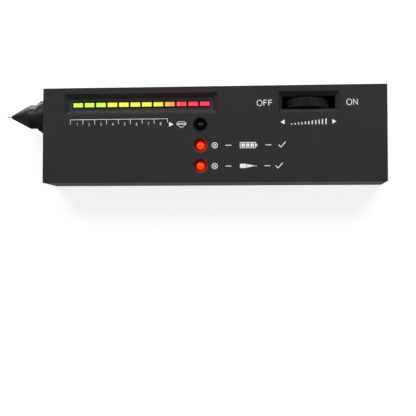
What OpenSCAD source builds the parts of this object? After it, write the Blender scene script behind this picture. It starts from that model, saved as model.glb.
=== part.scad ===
// Hand-held thermal diamond tester: a two-shell plastic case with a bar display, three lamps,
// a volume wheel with a switch, a spring-loaded copper probe and a sliding battery door.
// Millimetres. The origin is the middle of the case's flat back, +Z is up out of the face,
// the probe points along -X and the display lies towards +Y.

/* [Case] */
// Length of the case without the probe
body_l = 154; // [151:1:175]
// Width of the case
body_w = 43; // [42.5:0.5:52]
// Thickness of the case from back to face
body_t = 23; // [22.8:0.1:27]
// Height of the parting plane above the back
split_z = 10.8; // [10:0.1:12]
// Thickness of the side and end walls
wall = 1.8; // [1.6:0.1:2]
// Thickness of the face plate
face_t = 2; // [1.6:0.1:2.2]
// Thickness of the back plate
back_t = 2; // [1.8:0.1:2.6]
// Radius of the upright corners
corner_r = 0.6; // [0.4:0.1:2]
// Radius of the edges round the face and the back
edge_r = 0.4; // [0.3:0.1:1]
// Width of the shadow gap between the two shells
seam_gap = 0.6; // [0.3:0.1:1]
// Height of the lip that locates the upper shell
lip_h = 1.8; // [1.2:0.1:3]
// Thickness of the lip
lip_t = 0.9; // [0.7:0.05:1]

/* [Bar display] */
// Number of light bars
bar_count = 12; // [8:1:12]
// Distance from one light bar to the next
bar_pitch = 5.25; // [5.1:0.01:5.4]
// Length of a light bar
bar_l = 4.6; // [4:0.1:4.8]
// Width of a light bar
bar_w = 2.2; // [1.8:0.05:2.6]
// Distance of the window from the nose end of the case
window_nose = 9.75; // [9:0.25:12]
// Distance of the window from the upper long edge of the case
window_edge = 2.8; // [2.5:0.1:3.2]
// Width of the window and of the wheel's recess at the face
window_w = 9.5; // [9:0.1:10]
// Width of the window's sloping border, seen from the front
window_slope = 2.05; // [1.8:0.05:2.4]
// Depth of the window
window_depth = 2.05; // [1.95:0.05:3]
// Flat floor left between the end bars and the sloping border
bar_margin = 1.6; // [0.7:0.1:2]

/* [Lamps] */
// Number of lamps
lamp_count = 3; // [2:1:3]
// Distance from one lamp to the next
lamp_pitch = 9.2; // [8.6:0.1:9.4]
// Distance of the lamps from the nose end of the case
lamp_nose = 71.6; // [69:0.1:72.5]
// Distance of the first lamp from the upper long edge of the case
lamp_edge = 17.3; // [16.5:0.1:17.6]
// Diameter of a lamp's dome
lamp_d = 4; // [3:0.1:4.2]
// Diameter of the hole round a lamp
lamp_hole_d = 4.7; // [4.6:0.1:5.4]
// Diameter of the countersink round a lamp, at the face
lamp_sink_d = 6.6; // [6:0.1:7.2]
// Depth of the countersink
lamp_sink_h = 1.5; // [1:0.1:1.6]
// Depth of the dome's top below the face
lamp_below = 0.7; // [0.3:0.1:1.2]

/* [Volume wheel] */
// Diameter of the wheel over its ridges
wheel_d = 20.4; // [18.6:0.1:20.8]
// Width of the wheel's rim
wheel_w = 4.4; // [3.8:0.1:4.8]
// Number of ridges round the rim
wheel_ridges = 60; // [40:1:72]
// Depth of the ridges
ridge_h = 0.35; // [0.2:0.05:0.5]
// Depth of the rim below the face
wheel_sink = 0.2; // [0:0.1:0.6]
// Distance of the wheel's axle from the tail end of the case
wheel_tail = 34.75; // [34:0.05:35.2]
// Distance of the wheel's middle plane from the recess's middle line, towards the long edge
wheel_off = 0; // [0:0.05:0.3]
// Distance of the middle of the wheel's recess from the tail end of the case
recess_tail = 34.15; // [34:0.05:35]
// Length of the wheel's recess at the face
wheel_recess_l = 27.1; // [26:0.1:29]
// Width of the recess's sloping border, seen from the front
wheel_slope = 2.05; // [1.6:0.05:2.1]
// The same at the end of the recess towards the nose
wheel_nose_slope = 1.6; // [1.4:0.05:2.1]
// Depth of the sloping border
wheel_recess_depth = 2; // [1.6:0.1:2.4]
// Thickness of the wheel's web
web_t = 1.5; // [1:0.1:2]
// Diameter of the potentiometer's can
pot_d = 13; // [11:0.1:14]
// Diameter of the potentiometer's shaft
pot_shaft_d = 4; // [3:0.1:5]

/* [Probe] */
// Distance of the probe's axis from the upper long edge of the case
probe_edge = 11.2; // [11.1:0.1:13]
// Diameter of the collar's largest ring, against the case
ring_big_d = 16.4; // [15.4:0.1:17]
// Diameter of the collar's middle ring
ring_mid_d = 14.9; // [14:0.1:15.2]
// Diameter of the collar's smallest ring
ring_small_d = 13.4; // [12:0.1:13.8]
// Length of the collar's largest ring
ring_big_l = 2.2; // [1.8:0.05:2.6]
// Length of the collar's middle ring
ring_mid_l = 1.9; // [1.5:0.05:2.2]
// Length of the collar's smallest ring
ring_small_l = 1.15; // [1:0.05:1.5]
// Diameter of the nose cone's straight part
cone_d = 11; // [10:0.1:11.2]
// Length of the nose cone's straight part
cone_straight = 3.9; // [3.5:0.1:4.4]
// Length of the nose cone's tapered part
cone_taper = 9.1; // [8:0.1:11]
// Diameter of the nose cone's blunt tip
cone_tip_d = 1.8; // [1.3:0.1:2]
// Diameter of the copper needle
needle_d = 0.5; // [0.4:0.05:0.7]
// Length of the needle in front of the nose cone
needle_out = 2.35; // [1.95:0.05:2.6]
// Diameter of the sensor slug that carries the needle
slug_d = 4; // [3:0.1:4.2]
// Length of the sensor slug
slug_l = 4; // [3:0.1:5]

/* [Battery] */
// Length of the battery's can
bat_l = 46; // [45:0.1:46.5]
// Width of the battery
bat_w = 26.5; // [25.5:0.1:26.6]
// Thickness of the battery
bat_t = 17.5; // [16.5:0.1:17.6]
// Thickness of the door's outer panel
door_panel_t = 0.9; // [0.7:0.1:1]
// Width of the door's side tongues
door_tongue_w = 1.1; // [0.8:0.1:1.3]

/* [Boards and fasteners] */
// Thickness of the main board
board_t = 1.6; // [1:0.1:2]
// Distance of the main board below the inside of the face
standoff_h = 9.4; // [9:0.1:9.8]
// Diameter of the bosses for the case screws
boss_d = 6; // [5.4:0.1:6.2]
// Diameter of a case screw's shank
screw_d = 2; // [1.8:0.1:2.2]
// Diameter of a case screw's head
screw_head_d = 4.6; // [4:0.1:4.8]
// Height of a case screw's head
screw_head_h = 1.6; // [1.2:0.1:2]

/* [Hidden] */

// Clearances
fit = 0.1;             // sliding and locating fits
run_fit = 0.05;        // radial clearance of what turns or slides in a bore
loose_fit = 0.15;      // the battery door in its rails
seat_gap = 0.2;        // small gap under a part that lies loose on its seat
eps = 0.01;            // overlap of cutting shapes past the faces that they cut

$fn = 64;

// Planes of the case
nose_x = -body_l/2;
tail_x = body_l/2;
tail_in = tail_x - wall;
side_y = body_w/2;
side_in = side_y - wall;
inner_top = body_t - face_t;
lip_top = split_z + lip_h;
upper_from = split_z + seam_gap;

// Display window and its light bars
window_y = side_y - window_edge - window_w/2;
bars_l = (bar_count - 1)*bar_pitch + bar_l;
window_l = bars_l + 2*(bar_margin + window_slope);
window_x = nose_x + window_nose + window_l/2;
window_floor = body_t - window_depth;
window_floor_t = 1.2;
well_wall = 1.9;
bar_x0 = window_x - bars_l/2 + bar_l/2;
bar_top = window_floor - seat_gap;
bar_slot_clear = 0.3;
green_bars = 3;
orange_bars = 1;
red_bars = 3;
yellow_bars = bar_count - green_bars - orange_bars - red_bars;

// Lamps
lamp_x = nose_x + lamp_nose;
lamp_y0 = side_y - lamp_edge;
lamp_flange_d = lamp_d + 0.8;
lamp_flange_h = 0.8;
lamp_body_h = 3.3;
lamp_base_z = body_t - lamp_below - lamp_d/2 - lamp_body_h;
lead_side = 0.5;
lead_spread = 2.54;

// Volume wheel, turning about an axle along Y
wheel_x = tail_x - wheel_tail;
wheel_y = window_y + wheel_off;
recess_x = tail_x - recess_tail;
wheel_slot_l = wheel_recess_l - wheel_slope - wheel_nose_slope;
wheel_slot_x = recess_x - (wheel_slope - wheel_nose_slope)/2;
wheel_y0 = wheel_y - wheel_w/2;
wheel_z = body_t - wheel_sink - wheel_d/2;
pot_clear = 0.8;
wheel_clear = 0.5;
wheel_slot_lip = 0.8;
wheel_slot_wall = 1.4;
cup_r = pot_d/2 + pot_clear;
volume_board_t = 1.2;
volume_board_l = 22;
volume_board_h = 16.8;
volume_board_y = side_in - volume_board_t;
pot_y0 = wheel_y0 + web_t + pot_clear;
pot_bore_h = 2;
guide_rib_t = 1.2;
guide_rib_d = 2.4;
wheel_screw_d = 2;
wheel_screw_head_d = pot_shaft_d + 1.4;
wheel_screw_head_h = 1.2;

// Probe, with its own axis pointing out of the nose end
probe_y = side_y - probe_edge;
probe_z = split_z;
collar_l = ring_big_l + ring_mid_l + ring_small_l;
neck_d = 11;
flange_in_d = 13.6;
flange_in_t = 2;
spigot_d = 8.4;
spigot_l = 3.2;
tube_d = 6;
collar_back = -8.7;
slug_bore_d = slug_d + 2*run_fit;
cone_l = cone_straight + cone_taper;
cone_end = collar_l + cone_l;
slug_front = collar_l + cone_straight + 2.75;
slug_back = slug_front - slug_l;
needle_end = cone_end + needle_out;
needle_point = 0.5;
needle_bore_d = needle_d + 2*run_fit;
plug_front = -1.5;
plug_flange_t = 1.2;
spring_wire_d = 0.35;
spring_mean_d = slug_d - 1.1;
spring_turns = 6;
spring_end_clear = 0.05;

// Battery and its door
bat_gap = 0.3;
bat_side = 1.1;
bat_y = -side_in + bat_side + bat_w/2;
bat_x1 = tail_in - bat_gap;
bat_x0 = bat_x1 - bat_l;
bat_z0 = back_t + seat_gap;
bat_mid_z = bat_z0 + bat_t/2;
terminal_pitch = 12.7;
terminal_h = 2.7;
terminal_big_d = 8.4;
terminal_small_d = 5.8;
snap_gap = 0.3;
snap_t = 3.6;
snap_x0 = bat_x0 - snap_gap - snap_t;
snap_w = 12.8;
door_w = bat_w + 0.7;
door_x0 = bat_x0 - 3.5;
door_out_z = 0.1;
door_tongue_t = back_t - door_out_z - door_panel_t - loose_fit;
rail_h = 1.2;
rail_in = 0.3;
rail_root = 1.5;
partition_t = 1;
partition_h = 14;
partition_top = back_t + partition_h;
grip_count = 6;
grip_pitch = 1.8;
grip_w = 0.8;
grip_l = 15;
grip_depth = 0.45;
grip_nose = 8;

// Bosses and screws of the case
boss_y = side_in - boss_d/2 - seat_gap;
boss_end = 7;
nose_boss_x = nose_x + boss_end;
tail_boss_x = tail_x - boss_end;
mid_boss_clear = 1;
mid_boss_x = snap_x0 - mid_boss_clear - boss_d/2;
screw_seat_z = back_t + 0.4;
screw_hole_d = screw_d + 0.6;
screw_sink_d = screw_head_d + 0.6;
screw_grip = 5.5;
pilot_depth = 7;
case_screw_places = [[nose_boss_x, boss_y], [nose_boss_x, -boss_y],
    [tail_boss_x, boss_y], [mid_boss_x, -boss_y]];

// Main board
board_top = inner_top - standoff_h;
board_bottom = board_top - board_t;
board_nose = 13;
board_side = 0.8;
board_boss_clear = 0.4;
board_x0 = nose_x + board_nose;
board_x1 = mid_boss_x - boss_d/2 - board_boss_clear;
board_half_w = side_in - board_side;
standoff_d = 5;
standoff_end = 3;
standoff_side = 2.6;
board_screw_d = 1.7;
board_screw_head_d = 3.4;
board_screw_head_h = 1.3;
board_screw_l = 5;

// Parts on the main board
bar_holder_wall = 1;
holder_low_y = window_y - bar_w/2 - bar_holder_wall;
standoff_places = [[board_x0 + standoff_end + 1, standoff_side - board_half_w],
    [board_x1 - standoff_end, standoff_side - board_half_w],
    [board_x1 - standoff_end, holder_low_y - standoff_d/2 - 2*seat_gap]];
part_gap = 0.6;
row_gap = 2.2;
chip_w = 6.4;
chip_h = 3.3;
chip_lift = 0.6;
chip_pin_pitch = 2.54;
chip_row = 7.62;
driver_pins = 18;
amplifier_pins = 14;
driver_l = driver_pins/2*chip_pin_pitch;
amplifier_l = amplifier_pins/2*chip_pin_pitch;
capacitor_d = 5;
capacitor_h = 8;
lower_row_side = 8.7;
lower_row_y = lower_row_side - board_half_w;
upper_row_y = (lower_row_y + holder_low_y)/2;
upper_cap_x = board_x0 + part_gap + capacitor_d/2;
driver_x = upper_cap_x + capacitor_d/2 + part_gap + driver_l/2;
driver_places = [[driver_x, upper_row_y], [driver_x + driver_l + row_gap, upper_row_y]];
lower_cap_x = board_x0 + capacitor_d;
amplifier_x = lower_cap_x + capacitor_d/2 + row_gap + amplifier_l/2;
amplifier_place = [amplifier_x, lower_row_y];
buzzer_d = 9.6;
buzzer_h = 7;
buzzer_place = [(board_x0 + board_x1)/2, 0];
trimmer_side = 6.6;
trimmer_h = 4.6;
trimmer_x = amplifier_x + amplifier_l/2 + row_gap + trimmer_side/2;
trimmer_x2 = trimmer_x + trimmer_side + row_gap;
trimmer_places = [[trimmer_x, lower_row_y], [trimmer_x2, lower_row_y]];
last_cap_x = trimmer_x2 + trimmer_side/2 + row_gap + capacitor_d/2;
capacitor_places = [[last_cap_x, lower_row_y], [lower_cap_x, lower_row_y], [upper_cap_x, upper_row_y]];
resistor_d = 2.3;
resistor_l = 6.2;
resistor_span = 10.2;
resistor_count = 5;
resistor_pitch = resistor_span + part_gap;
resistor_side = 1.9;
resistor_x0 = standoff_places[0][0] + standoff_d/2 + part_gap + resistor_span/2;
resistor_y = resistor_side - board_half_w;

// Routes of the leads: hand-picked points between their two ends
lead_r = 0.6;
lead_sides = 8;
lead_steps = 4;
land_end = 1.7;
battery_reach = 13.2;
battery_land_x = snap_x0 - battery_reach;
red_from = [snap_x0, bat_y + 3, bat_mid_z + 1];
red_to = [battery_land_x, bat_y - 3.6, board_top];
black_from = [snap_x0, bat_y - 3, bat_mid_z + 1];
black_to = [battery_land_x, bat_y - 6.4, board_top];
volume_from = [wheel_x - volume_board_l/2 + 1.4, volume_board_y, wheel_z - 4];
volume_to = [board_x1 - land_end, 1.5, board_top];
volume_pitch = 2;
probe_from = [nose_x - collar_back + plug_flange_t, probe_y, probe_z + 1.2];
probe_to = [board_x0 + 3, probe_y - 1.6, board_top];
probe_pitch = 1.7;

// Colours
charcoal = [0.2, 0.195, 0.195];
black = [0.07, 0.07, 0.075];
copper = [0.72, 0.43, 0.25];
steel = [0.7, 0.7, 0.72];

// Helpers: rounded shapes, directions and swept tubes

module rounded_rect(l, w, r) {
    union() {
        square([l - 2*r, w], center = true);
        square([l, w - 2*r], center = true);
        for (x = [-1, 1], y = [-1, 1])
            translate([x*(l/2 - r), y*(w/2 - r)]) circle(r);
    }
}

// A block whose upright corners and lower edges are rounded, standing on z = 0
module soft_block(l, w, h, r, e) {
    intersection() {
        linear_extrude(h) rounded_rect(l, w, r);
        translate([-l, 0, h]) rotate([90, 0, 90]) linear_extrude(2*l) rounded_rect(w, 2*h, e);
        translate([0, w, h]) rotate([90, 0, 0]) linear_extrude(2*w) rounded_rect(l, 2*h, e);
    }
}

// A four-sided recess with mitred sloping sides, cut down from z = 0
module sloped_recess(l, w, slope, depth, nose_slope) {
    intersection() {
        translate([-l, 0, 0]) rotate([90, 0, 90]) linear_extrude(2*l)
            slope_profile(w, slope, depth, slope);
        translate([0, w, 0]) rotate([90, 0, 0]) linear_extrude(2*w)
            slope_profile(l, slope, depth, nose_slope);
    }
}

module slope_profile(w, slope, depth, near_slope) {
    polygon([[-w/2 - near_slope/depth, 1], [w/2 + slope/depth, 1], [w/2 - slope, -depth],
        [near_slope - w/2, -depth]]);
}

// Puts the local +Z axis along the probe, out of the nose end, with z = 0 on the end face
module along_probe() {
    translate([nose_x, probe_y, probe_z]) rotate([0, -90, 0]) children();
}

// Puts the local +Z axis along the wheel's axle, with z = 0 on the wheel's near side
module along_axle() {
    translate([wheel_x, wheel_y0, wheel_z]) rotate([-90, 0, 0]) children();
}

// Half a turned step: a rectangle from the axis, with its outer front corner rounded
module turned_step(r, z0, z1, f) {
    union() {
        translate([0, z0]) square([r, z1 - z0 - f]);
        translate([0, z0]) square([r - f, z1 - z0]);
        translate([r - f, z1 - f]) circle(f);
    }
}

function unit(v) = v/norm(v);
function any_normal(d) = unit(cross(d, abs(d[2]) < 0.9 ? [0, 0, 1] : [1, 0, 0]));
function clamp_at(p, i) = p[max(0, min(len(p) - 1, i))];
function spline(a, b, c, d, t) =
    0.5*(2*b + (c - a)*t + (2*a - 5*b + 4*c - d)*t*t + (3*b - a - 3*c + d)*t*t*t);

// Points of a smooth curve through p, straight at both ends, with the given number of steps
// between inner neighbours
function smooth_route(p, steps) = [
    p[0],
    for (i = [1 : len(p) - 3], k = [0 : steps - 1])
        spline(p[i - 1], p[i], p[i + 1], p[i + 2], k/steps),
    p[len(p) - 2],
    p[len(p) - 1]
];
function tangents(p) = [for (i = [0 : len(p) - 1]) unit(clamp_at(p, i + 1) - clamp_at(p, i - 1))];

// One normal for each tangent, carried along the route without twist
function normals(t) = [
    for (i = 0, n = any_normal(t[0]); i < len(t);
        i = i + 1, n = i < len(t) ? unit(n - (n*t[i])*t[i]) : n) n
];

module tube(path, r, sides) {
    t = tangents(path);
    n = normals(t);
    rings = len(path);
    points = [for (i = [0 : rings - 1], k = [0 : sides - 1])
        path[i] + r*(cos(360*k/sides)*n[i] + sin(360*k/sides)*cross(t[i], n[i]))];
    walls = [for (i = [0 : rings - 2], k = [0 : sides - 1], half = [0, 1])
        let (a = i*sides + k, b = i*sides + (k + 1)%sides)
        half == 0 ? [a, a + sides, b] : [b, a + sides, b + sides]];
    first = [for (k = [1 : sides - 2]) [0, k, k + 1]];
    last = [for (k = [1 : sides - 2])
        [(rings - 1)*sides, (rings - 1)*sides + k + 1, (rings - 1)*sides + k]];
    polyhedron(points, concat(walls, first, last), convexity = 8);
}

module lead(points) {
    tube(smooth_route(points, lead_steps), lead_r, lead_sides);
}

// Shells

module case_ring(inset_out, inset_in, z0, z1) {
    translate([0, 0, z0]) difference() {
        translate([0, 0, (z1 - z0)/2])
            cube([body_l - 2*inset_out, body_w - 2*inset_out, z1 - z0], center = true);
        translate([0, 0, (z1 - z0)/2])
            cube([body_l - 2*inset_in, body_w - 2*inset_in, z1 - z0 + 1], center = true);
    }
}

module case_cavity(z0, z1) {
    translate([0, 0, (z0 + z1)/2])
        cube([body_l - 2*wall, body_w - 2*wall, z1 - z0], center = true);
}

// The hole for the collar's neck, half in each shell
module neck_hole() {
    along_probe() translate([0, 0, -wall - 1]) cylinder(d = neck_d + 2*fit, h = wall + 2);
}

module upper_shell() {
    color(charcoal) difference() {
        union() {
            difference() {
                translate([0, 0, body_t]) mirror([0, 0, 1])
                    soft_block(body_l, body_w, body_t - upper_from, corner_r, edge_r);
                case_cavity(0, inner_top);
                case_ring(wall - lip_t - fit, wall + 1, 0, lip_top);
            }
            window_well();
            wheel_slot_lip_block();
            upper_bosses();
            board_guides();
        }
        translate([window_x, window_y, body_t])
            sloped_recess(window_l, window_w, window_slope, window_depth, window_slope);
        bar_slot();
        translate([recess_x, window_y, body_t])
            sloped_recess(wheel_recess_l, window_w, wheel_slope, wheel_recess_depth, wheel_nose_slope);
        wheel_slot();
        lamp_holes();
        neck_hole();
    }
}

// The box under the display window that holds its sloping sides and floor
module window_well() {
    translate([window_x, window_y, (window_floor - window_floor_t + inner_top + eps)/2])
        cube([window_l - 2*window_slope + 2*well_wall, window_w - 2*window_slope + 2*well_wall,
            inner_top + eps - window_floor + window_floor_t], center = true);
}

module bar_slot() {
    translate([window_x, window_y, window_floor - window_floor_t])
        cube([bars_l + 2*bar_slot_clear, bar_w + 2*bar_slot_clear, 3*window_floor_t], center = true);
}

// The short straight collar below the wheel's sloping recess
module wheel_slot_lip_block() {
    depth = wheel_recess_depth + wheel_slot_lip - face_t;
    translate([wheel_slot_x, window_y, inner_top - depth/2 + eps/2])
        cube([wheel_slot_l + 2*wheel_slot_wall,
            window_w - 2*wheel_slope + 2*wheel_slot_wall, depth + eps], center = true);
}

module wheel_slot() {
    translate([wheel_slot_x, window_y, body_t - wheel_recess_depth])
        cube([wheel_slot_l, window_w - 2*wheel_slope, 4*wheel_recess_depth], center = true);
}

module lamp_holes() {
    for (i = [0 : lamp_count - 1]) translate([lamp_x, lamp_y0 - i*lamp_pitch, body_t]) {
        translate([0, 0, -lamp_sink_h])
            cylinder(d1 = lamp_hole_d, d2 = lamp_sink_d, h = lamp_sink_h);
        translate([0, 0, -face_t - 1]) cylinder(d = lamp_hole_d, h = face_t + 1);
        translate([0, 0, -eps]) cylinder(d = lamp_sink_d, h = 1);
    }
}

module upper_bosses() {
    for (p = case_screw_places) translate([p[0], p[1], split_z + fit]) difference() {
        cylinder(d = boss_d, h = inner_top - split_z - fit + eps);
        translate([0, 0, -1]) cylinder(d = screw_d + 2*run_fit, h = pilot_depth + 1);
    }
    for (p = standoff_places) translate([p[0], p[1], board_top]) difference() {
        cylinder(d = standoff_d, h = standoff_h + eps);
        translate([0, 0, -1]) cylinder(d = board_screw_d + 2*run_fit, h = board_screw_l + 1);
    }
}

// Two ribs on the side wall that hold the volume board between them
module board_guides() {
    for (s = [-1, 1])
        translate([wheel_x + s*(volume_board_l/2 + fit + guide_rib_t/2), side_in - guide_rib_d/2 + eps,
            (lip_top + inner_top)/2])
            cube([guide_rib_t, guide_rib_d + 2*eps, inner_top - lip_top + 2*eps], center = true);
}

module lower_shell() {
    color(charcoal) difference() {
        union() {
            difference() {
                soft_block(body_l, body_w, split_z, corner_r, edge_r);
                case_cavity(back_t, body_t);
            }
            case_ring(wall - lip_t, wall, split_z - eps, lip_top);
            lower_bosses();
            door_rails();
            battery_ribs();
        }
        screw_holes();
        door_opening();
        neck_hole();
        along_axle() translate([0, 0, -wheel_clear])
            cylinder(r = wheel_d/2 + wheel_clear, h = wheel_w + 2*wheel_clear);
    }
}

module lower_bosses() {
    for (p = case_screw_places) translate([p[0], p[1], back_t - eps])
        cylinder(d = boss_d, h = split_z - back_t + eps);
}

module screw_holes() {
    for (p = case_screw_places) translate([p[0], p[1], 0]) {
        translate([0, 0, -1]) cylinder(d = screw_sink_d, h = screw_seat_z + 1);
        cylinder(d = screw_hole_d, h = split_z + 1);
    }
}

// Ledges over the door's tongues, on both sides of the battery bay
module door_rails() {
    for (s = [-1, 1]) {
        edge = bat_y + s*(bat_w/2 + rail_in);
        reach = s < 0 ? side_in + edge : door_tongue_w + 3*loose_fit + partition_t;
        translate([door_x0 - rail_root, s < 0 ? -side_in - eps : edge, back_t - eps])
            cube([tail_in - door_x0 + rail_root + eps, reach + eps, rail_h + eps]);
    }
}

// The wall between battery and wheel, and a low bar across the bay that stops the battery's can
module battery_ribs() {
    wall_y = bat_y + bat_w/2 + rail_in;
    stop_x = bat_x0 - bat_gap - partition_t;
    translate([stop_x, wall_y, back_t + rail_h - eps])
        cube([tail_in - stop_x + eps, partition_t, partition_top - back_t - rail_h + eps]);
    translate([stop_x, bat_y - bat_w/2 - rail_in - eps, back_t])
        cube([partition_t, bat_w + 2*rail_in + 2*eps, bat_mid_z - snap_w/2 - bat_gap - back_t]);
}

module door_opening() {
    opening_w = door_w + 2*loose_fit;
    groove_w = opening_w + 2*(door_tongue_w);
    translate([door_x0, bat_y - opening_w/2, -1]) cube([body_l, opening_w, back_t + 1]);
    translate([door_x0, bat_y - groove_w/2, door_out_z + door_panel_t - loose_fit])
        cube([body_l, groove_w, back_t - door_out_z - door_panel_t + loose_fit]);
}

module battery_door() {
    door_l = tail_x - door_x0 - loose_fit;
    tongue_z = door_out_z + door_panel_t;
    color(charcoal) difference() {
        union() {
            intersection() {
                translate([door_x0 + loose_fit, bat_y - door_w/2, door_out_z])
                    cube([door_l, door_w, door_panel_t + door_tongue_t]);
                soft_block(body_l, body_w, split_z, corner_r, edge_r);
            }
            translate([door_x0 + loose_fit, bat_y - door_w/2 - door_tongue_w, tongue_z])
                cube([door_l - wall, door_w + 2*door_tongue_w, door_tongue_t]);
        }
        for (i = [0 : grip_count - 1])
            translate([door_x0 + grip_nose + i*grip_pitch, bat_y - grip_l/2, door_out_z - 1])
                cube([grip_w, grip_l, grip_depth + 1]);
    }
}

module case_screws() {
    shank_l = split_z + screw_grip - screw_seat_z;
    color(steel) for (p = case_screw_places) translate([p[0], p[1], screw_seat_z]) difference() {
        union() {
            cylinder(d = screw_d, h = shank_l);
            translate([0, 0, -screw_head_h]) cylinder(d = screw_head_d, h = screw_head_h);
        }
        for (a = [0, 90]) rotate(a) translate([0, 0, -screw_head_h])
            cube([0.55*screw_head_d, 0.14*screw_head_d, screw_head_h], center = true);
    }
}

// Volume wheel and potentiometer

function ridge_point(i, corner) =
    let (step = 360/wheel_ridges,
        a = step*(i + [0.08, 0.3, 0.7, 0.92][corner]),
        r = wheel_d/2 - (corner == 0 || corner == 3 ? ridge_h : 0))
    r*[cos(a), sin(a)];

module thumbwheel() {
    round_r = 0.6;
    color(black) along_axle() difference() {
        intersection() {
            linear_extrude(wheel_w)
                polygon([for (i = [0 : wheel_ridges - 1], c = [0 : 3]) ridge_point(i, c)]);
            rotate_extrude() union() {
                turned_step(wheel_d/2, wheel_w/2, wheel_w, round_r);
                translate([0, wheel_w]) mirror([0, 1]) turned_step(wheel_d/2, wheel_w/2, wheel_w, round_r);
            }
        }
        translate([0, 0, web_t]) cylinder(r = cup_r, h = wheel_w);
        translate([0, 0, -1]) cylinder(d = pot_shaft_d + 2*run_fit, h = web_t + 2);
    }
}

module wheel_screw() {
    color(steel) along_axle() difference() {
        union() {
            translate([0, 0, -wheel_screw_head_h])
                cylinder(d = wheel_screw_head_d, h = wheel_screw_head_h);
            cylinder(d = wheel_screw_d, h = web_t + 1.5);
        }
        translate([0, 0, -wheel_screw_head_h])
            cube([2*wheel_screw_head_d, 0.5, 1], center = true);
    }
}

module pot_shaft() {
    shaft_l = pot_y0 - wheel_y0 + pot_bore_h - seat_gap;
    color(steel) along_axle() difference() {
        cylinder(d = pot_shaft_d, h = shaft_l);
        translate([0, 0, -1]) cylinder(d = wheel_screw_d + 2*run_fit, h = web_t + 3);
    }
}

module potentiometer() {
    pin_w = 1.2;
    front = pot_y0 - wheel_y0;
    can_l = volume_board_y - pot_y0;
    color([0.45, 0.32, 0.2]) along_axle() translate([0, 0, front]) difference() {
        union() {
            cylinder(d = pot_d, h = can_l);
            translate([0, 0, can_l/2]) for (x = [-1, 0, 1])
                translate([x*3.5 - pin_w/2, pot_d/2 - 2, can_l/2 - 0.4]) cube([pin_w, 2.8, 0.4]);
        }
        translate([0, 0, -1]) cylinder(d = pot_shaft_d + 2*run_fit, h = pot_bore_h + 1);
    }
}

module volume_board() {
    color("darkgreen")
        translate([wheel_x - volume_board_l/2, volume_board_y, inner_top - volume_board_h - seat_gap])
        cube([volume_board_l, volume_board_t, volume_board_h]);
}

module volume_leads() {
    color("dimgray") for (i = [-1, 0, 1]) {
        from = volume_from + [0, 0, i*volume_pitch];
        to = volume_to + [0, i*volume_pitch, 0];
        lead([from, from - [0, 0.8, 0], from - [6.5, 2.2, 0.6], to + [6.4, 9.6, 1 + 0.9*i],
            to + [3, 1.6, 3], to + [0.4, 0.2, 2.4], to + [0, 0, 1.4], to]);
    }
}

// Probe

module probe_collar() {
    edge = 0.45;
    color(black) along_probe() rotate_extrude() difference() {
        union() {
            turned_step(ring_big_d/2, 0, ring_big_l, edge);
            turned_step(ring_mid_d/2, 0, ring_big_l + ring_mid_l, edge);
            turned_step(ring_small_d/2, 0, collar_l, edge);
            translate([0, collar_l - eps]) square([spigot_d/2, spigot_l]);
            translate([0, -wall - fit]) square([neck_d/2, wall + fit + eps]);
            translate([0, -wall - fit - flange_in_t]) square([flange_in_d/2, flange_in_t]);
            translate([0, collar_back]) square([tube_d/2, -collar_back]);
        }
        translate([-1, collar_back - 1]) square([slug_bore_d/2 + 1, 40]);
    }
}

module nose_cone() {
    blunt = cone_tip_d/2;
    bore_front = collar_l + spigot_l + fit;
    color(black) along_probe() rotate_extrude() difference() {
        union() {
            translate([0, collar_l]) square([cone_d/2, cone_straight]);
            polygon([[0, collar_l + cone_straight - eps], [cone_d/2, collar_l + cone_straight - eps],
                [cone_d/2, collar_l + cone_straight], [blunt, cone_end - blunt*0.4],
                [blunt*0.75, cone_end], [0, cone_end]]);
        }
        translate([-1, collar_l - 1]) square([spigot_d/2 + run_fit + 1, bore_front - collar_l + 1]);
        translate([-1, collar_l - 1]) square([slug_bore_d/2 + 1, slug_front - collar_l + 1]);
        translate([-1, collar_l]) square([needle_bore_d/2 + 1, cone_l + 1]);
    }
}

module probe_tip() {
    color(copper) along_probe() union() {
        translate([0, 0, slug_front - eps])
            cylinder(d = needle_d, h = needle_end - needle_point - slug_front + eps);
        translate([0, 0, needle_end - needle_point])
            cylinder(d1 = needle_d, d2 = needle_d/3, h = needle_point);
    }
}

module sensor_slug() {
    bead_d = 1.6;
    color(copper) along_probe() union() {
        translate([0, 0, slug_back]) cylinder(d = slug_d, h = slug_l - eps);
        translate([0, 0, slug_back - 1]) cylinder(d = bead_d, h = 1 + eps);
    }
}

// One unbroken helix between the slug and the plug
spring_from = plug_front + spring_wire_d/2 + spring_end_clear;
spring_to = slug_back - spring_wire_d/2 - spring_end_clear;
spring_rings = 12;
spring_path = [for (i = [0 : spring_turns*spring_rings])
    let (a = 360*i/spring_rings, s = i/(spring_turns*spring_rings))
    [spring_mean_d/2*cos(a), spring_mean_d/2*sin(a), spring_from + s*(spring_to - spring_from)]];
echo(spring_least_gap = (spring_to - spring_from)/spring_turns - spring_wire_d);

module probe_spring() {
    color(steel) along_probe() tube(spring_path, spring_wire_d/2, 6);
}

module probe_plug() {
    color("ivory") along_probe() union() {
        translate([0, 0, collar_back - eps]) cylinder(d = slug_d, h = plug_front - collar_back + eps);
        translate([0, 0, collar_back - plug_flange_t]) cylinder(d = tube_d, h = plug_flange_t);
    }
}

module probe_leads() {
    color("firebrick") for (s = [-1, 1]) {
        from = probe_from + [0, s*probe_pitch/2, 0];
        to = probe_to + [0, s*probe_pitch/2, 0];
        lead([from, from + [0.9, 0, 0], to + [-1.6, 0, 3], to + [0, 0, 1.6], to]);
    }
}

// Boards and the parts on them

module main_board() {
    color("darkgreen") difference() {
        translate([board_x0, -board_half_w, board_bottom])
            cube([board_x1 - board_x0, 2*board_half_w, board_t]);
        for (p = standoff_places) translate([p[0], p[1], board_bottom - 1])
            cylinder(d = board_screw_d + 4*fit, h = board_t + 2);
    }
}

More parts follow.
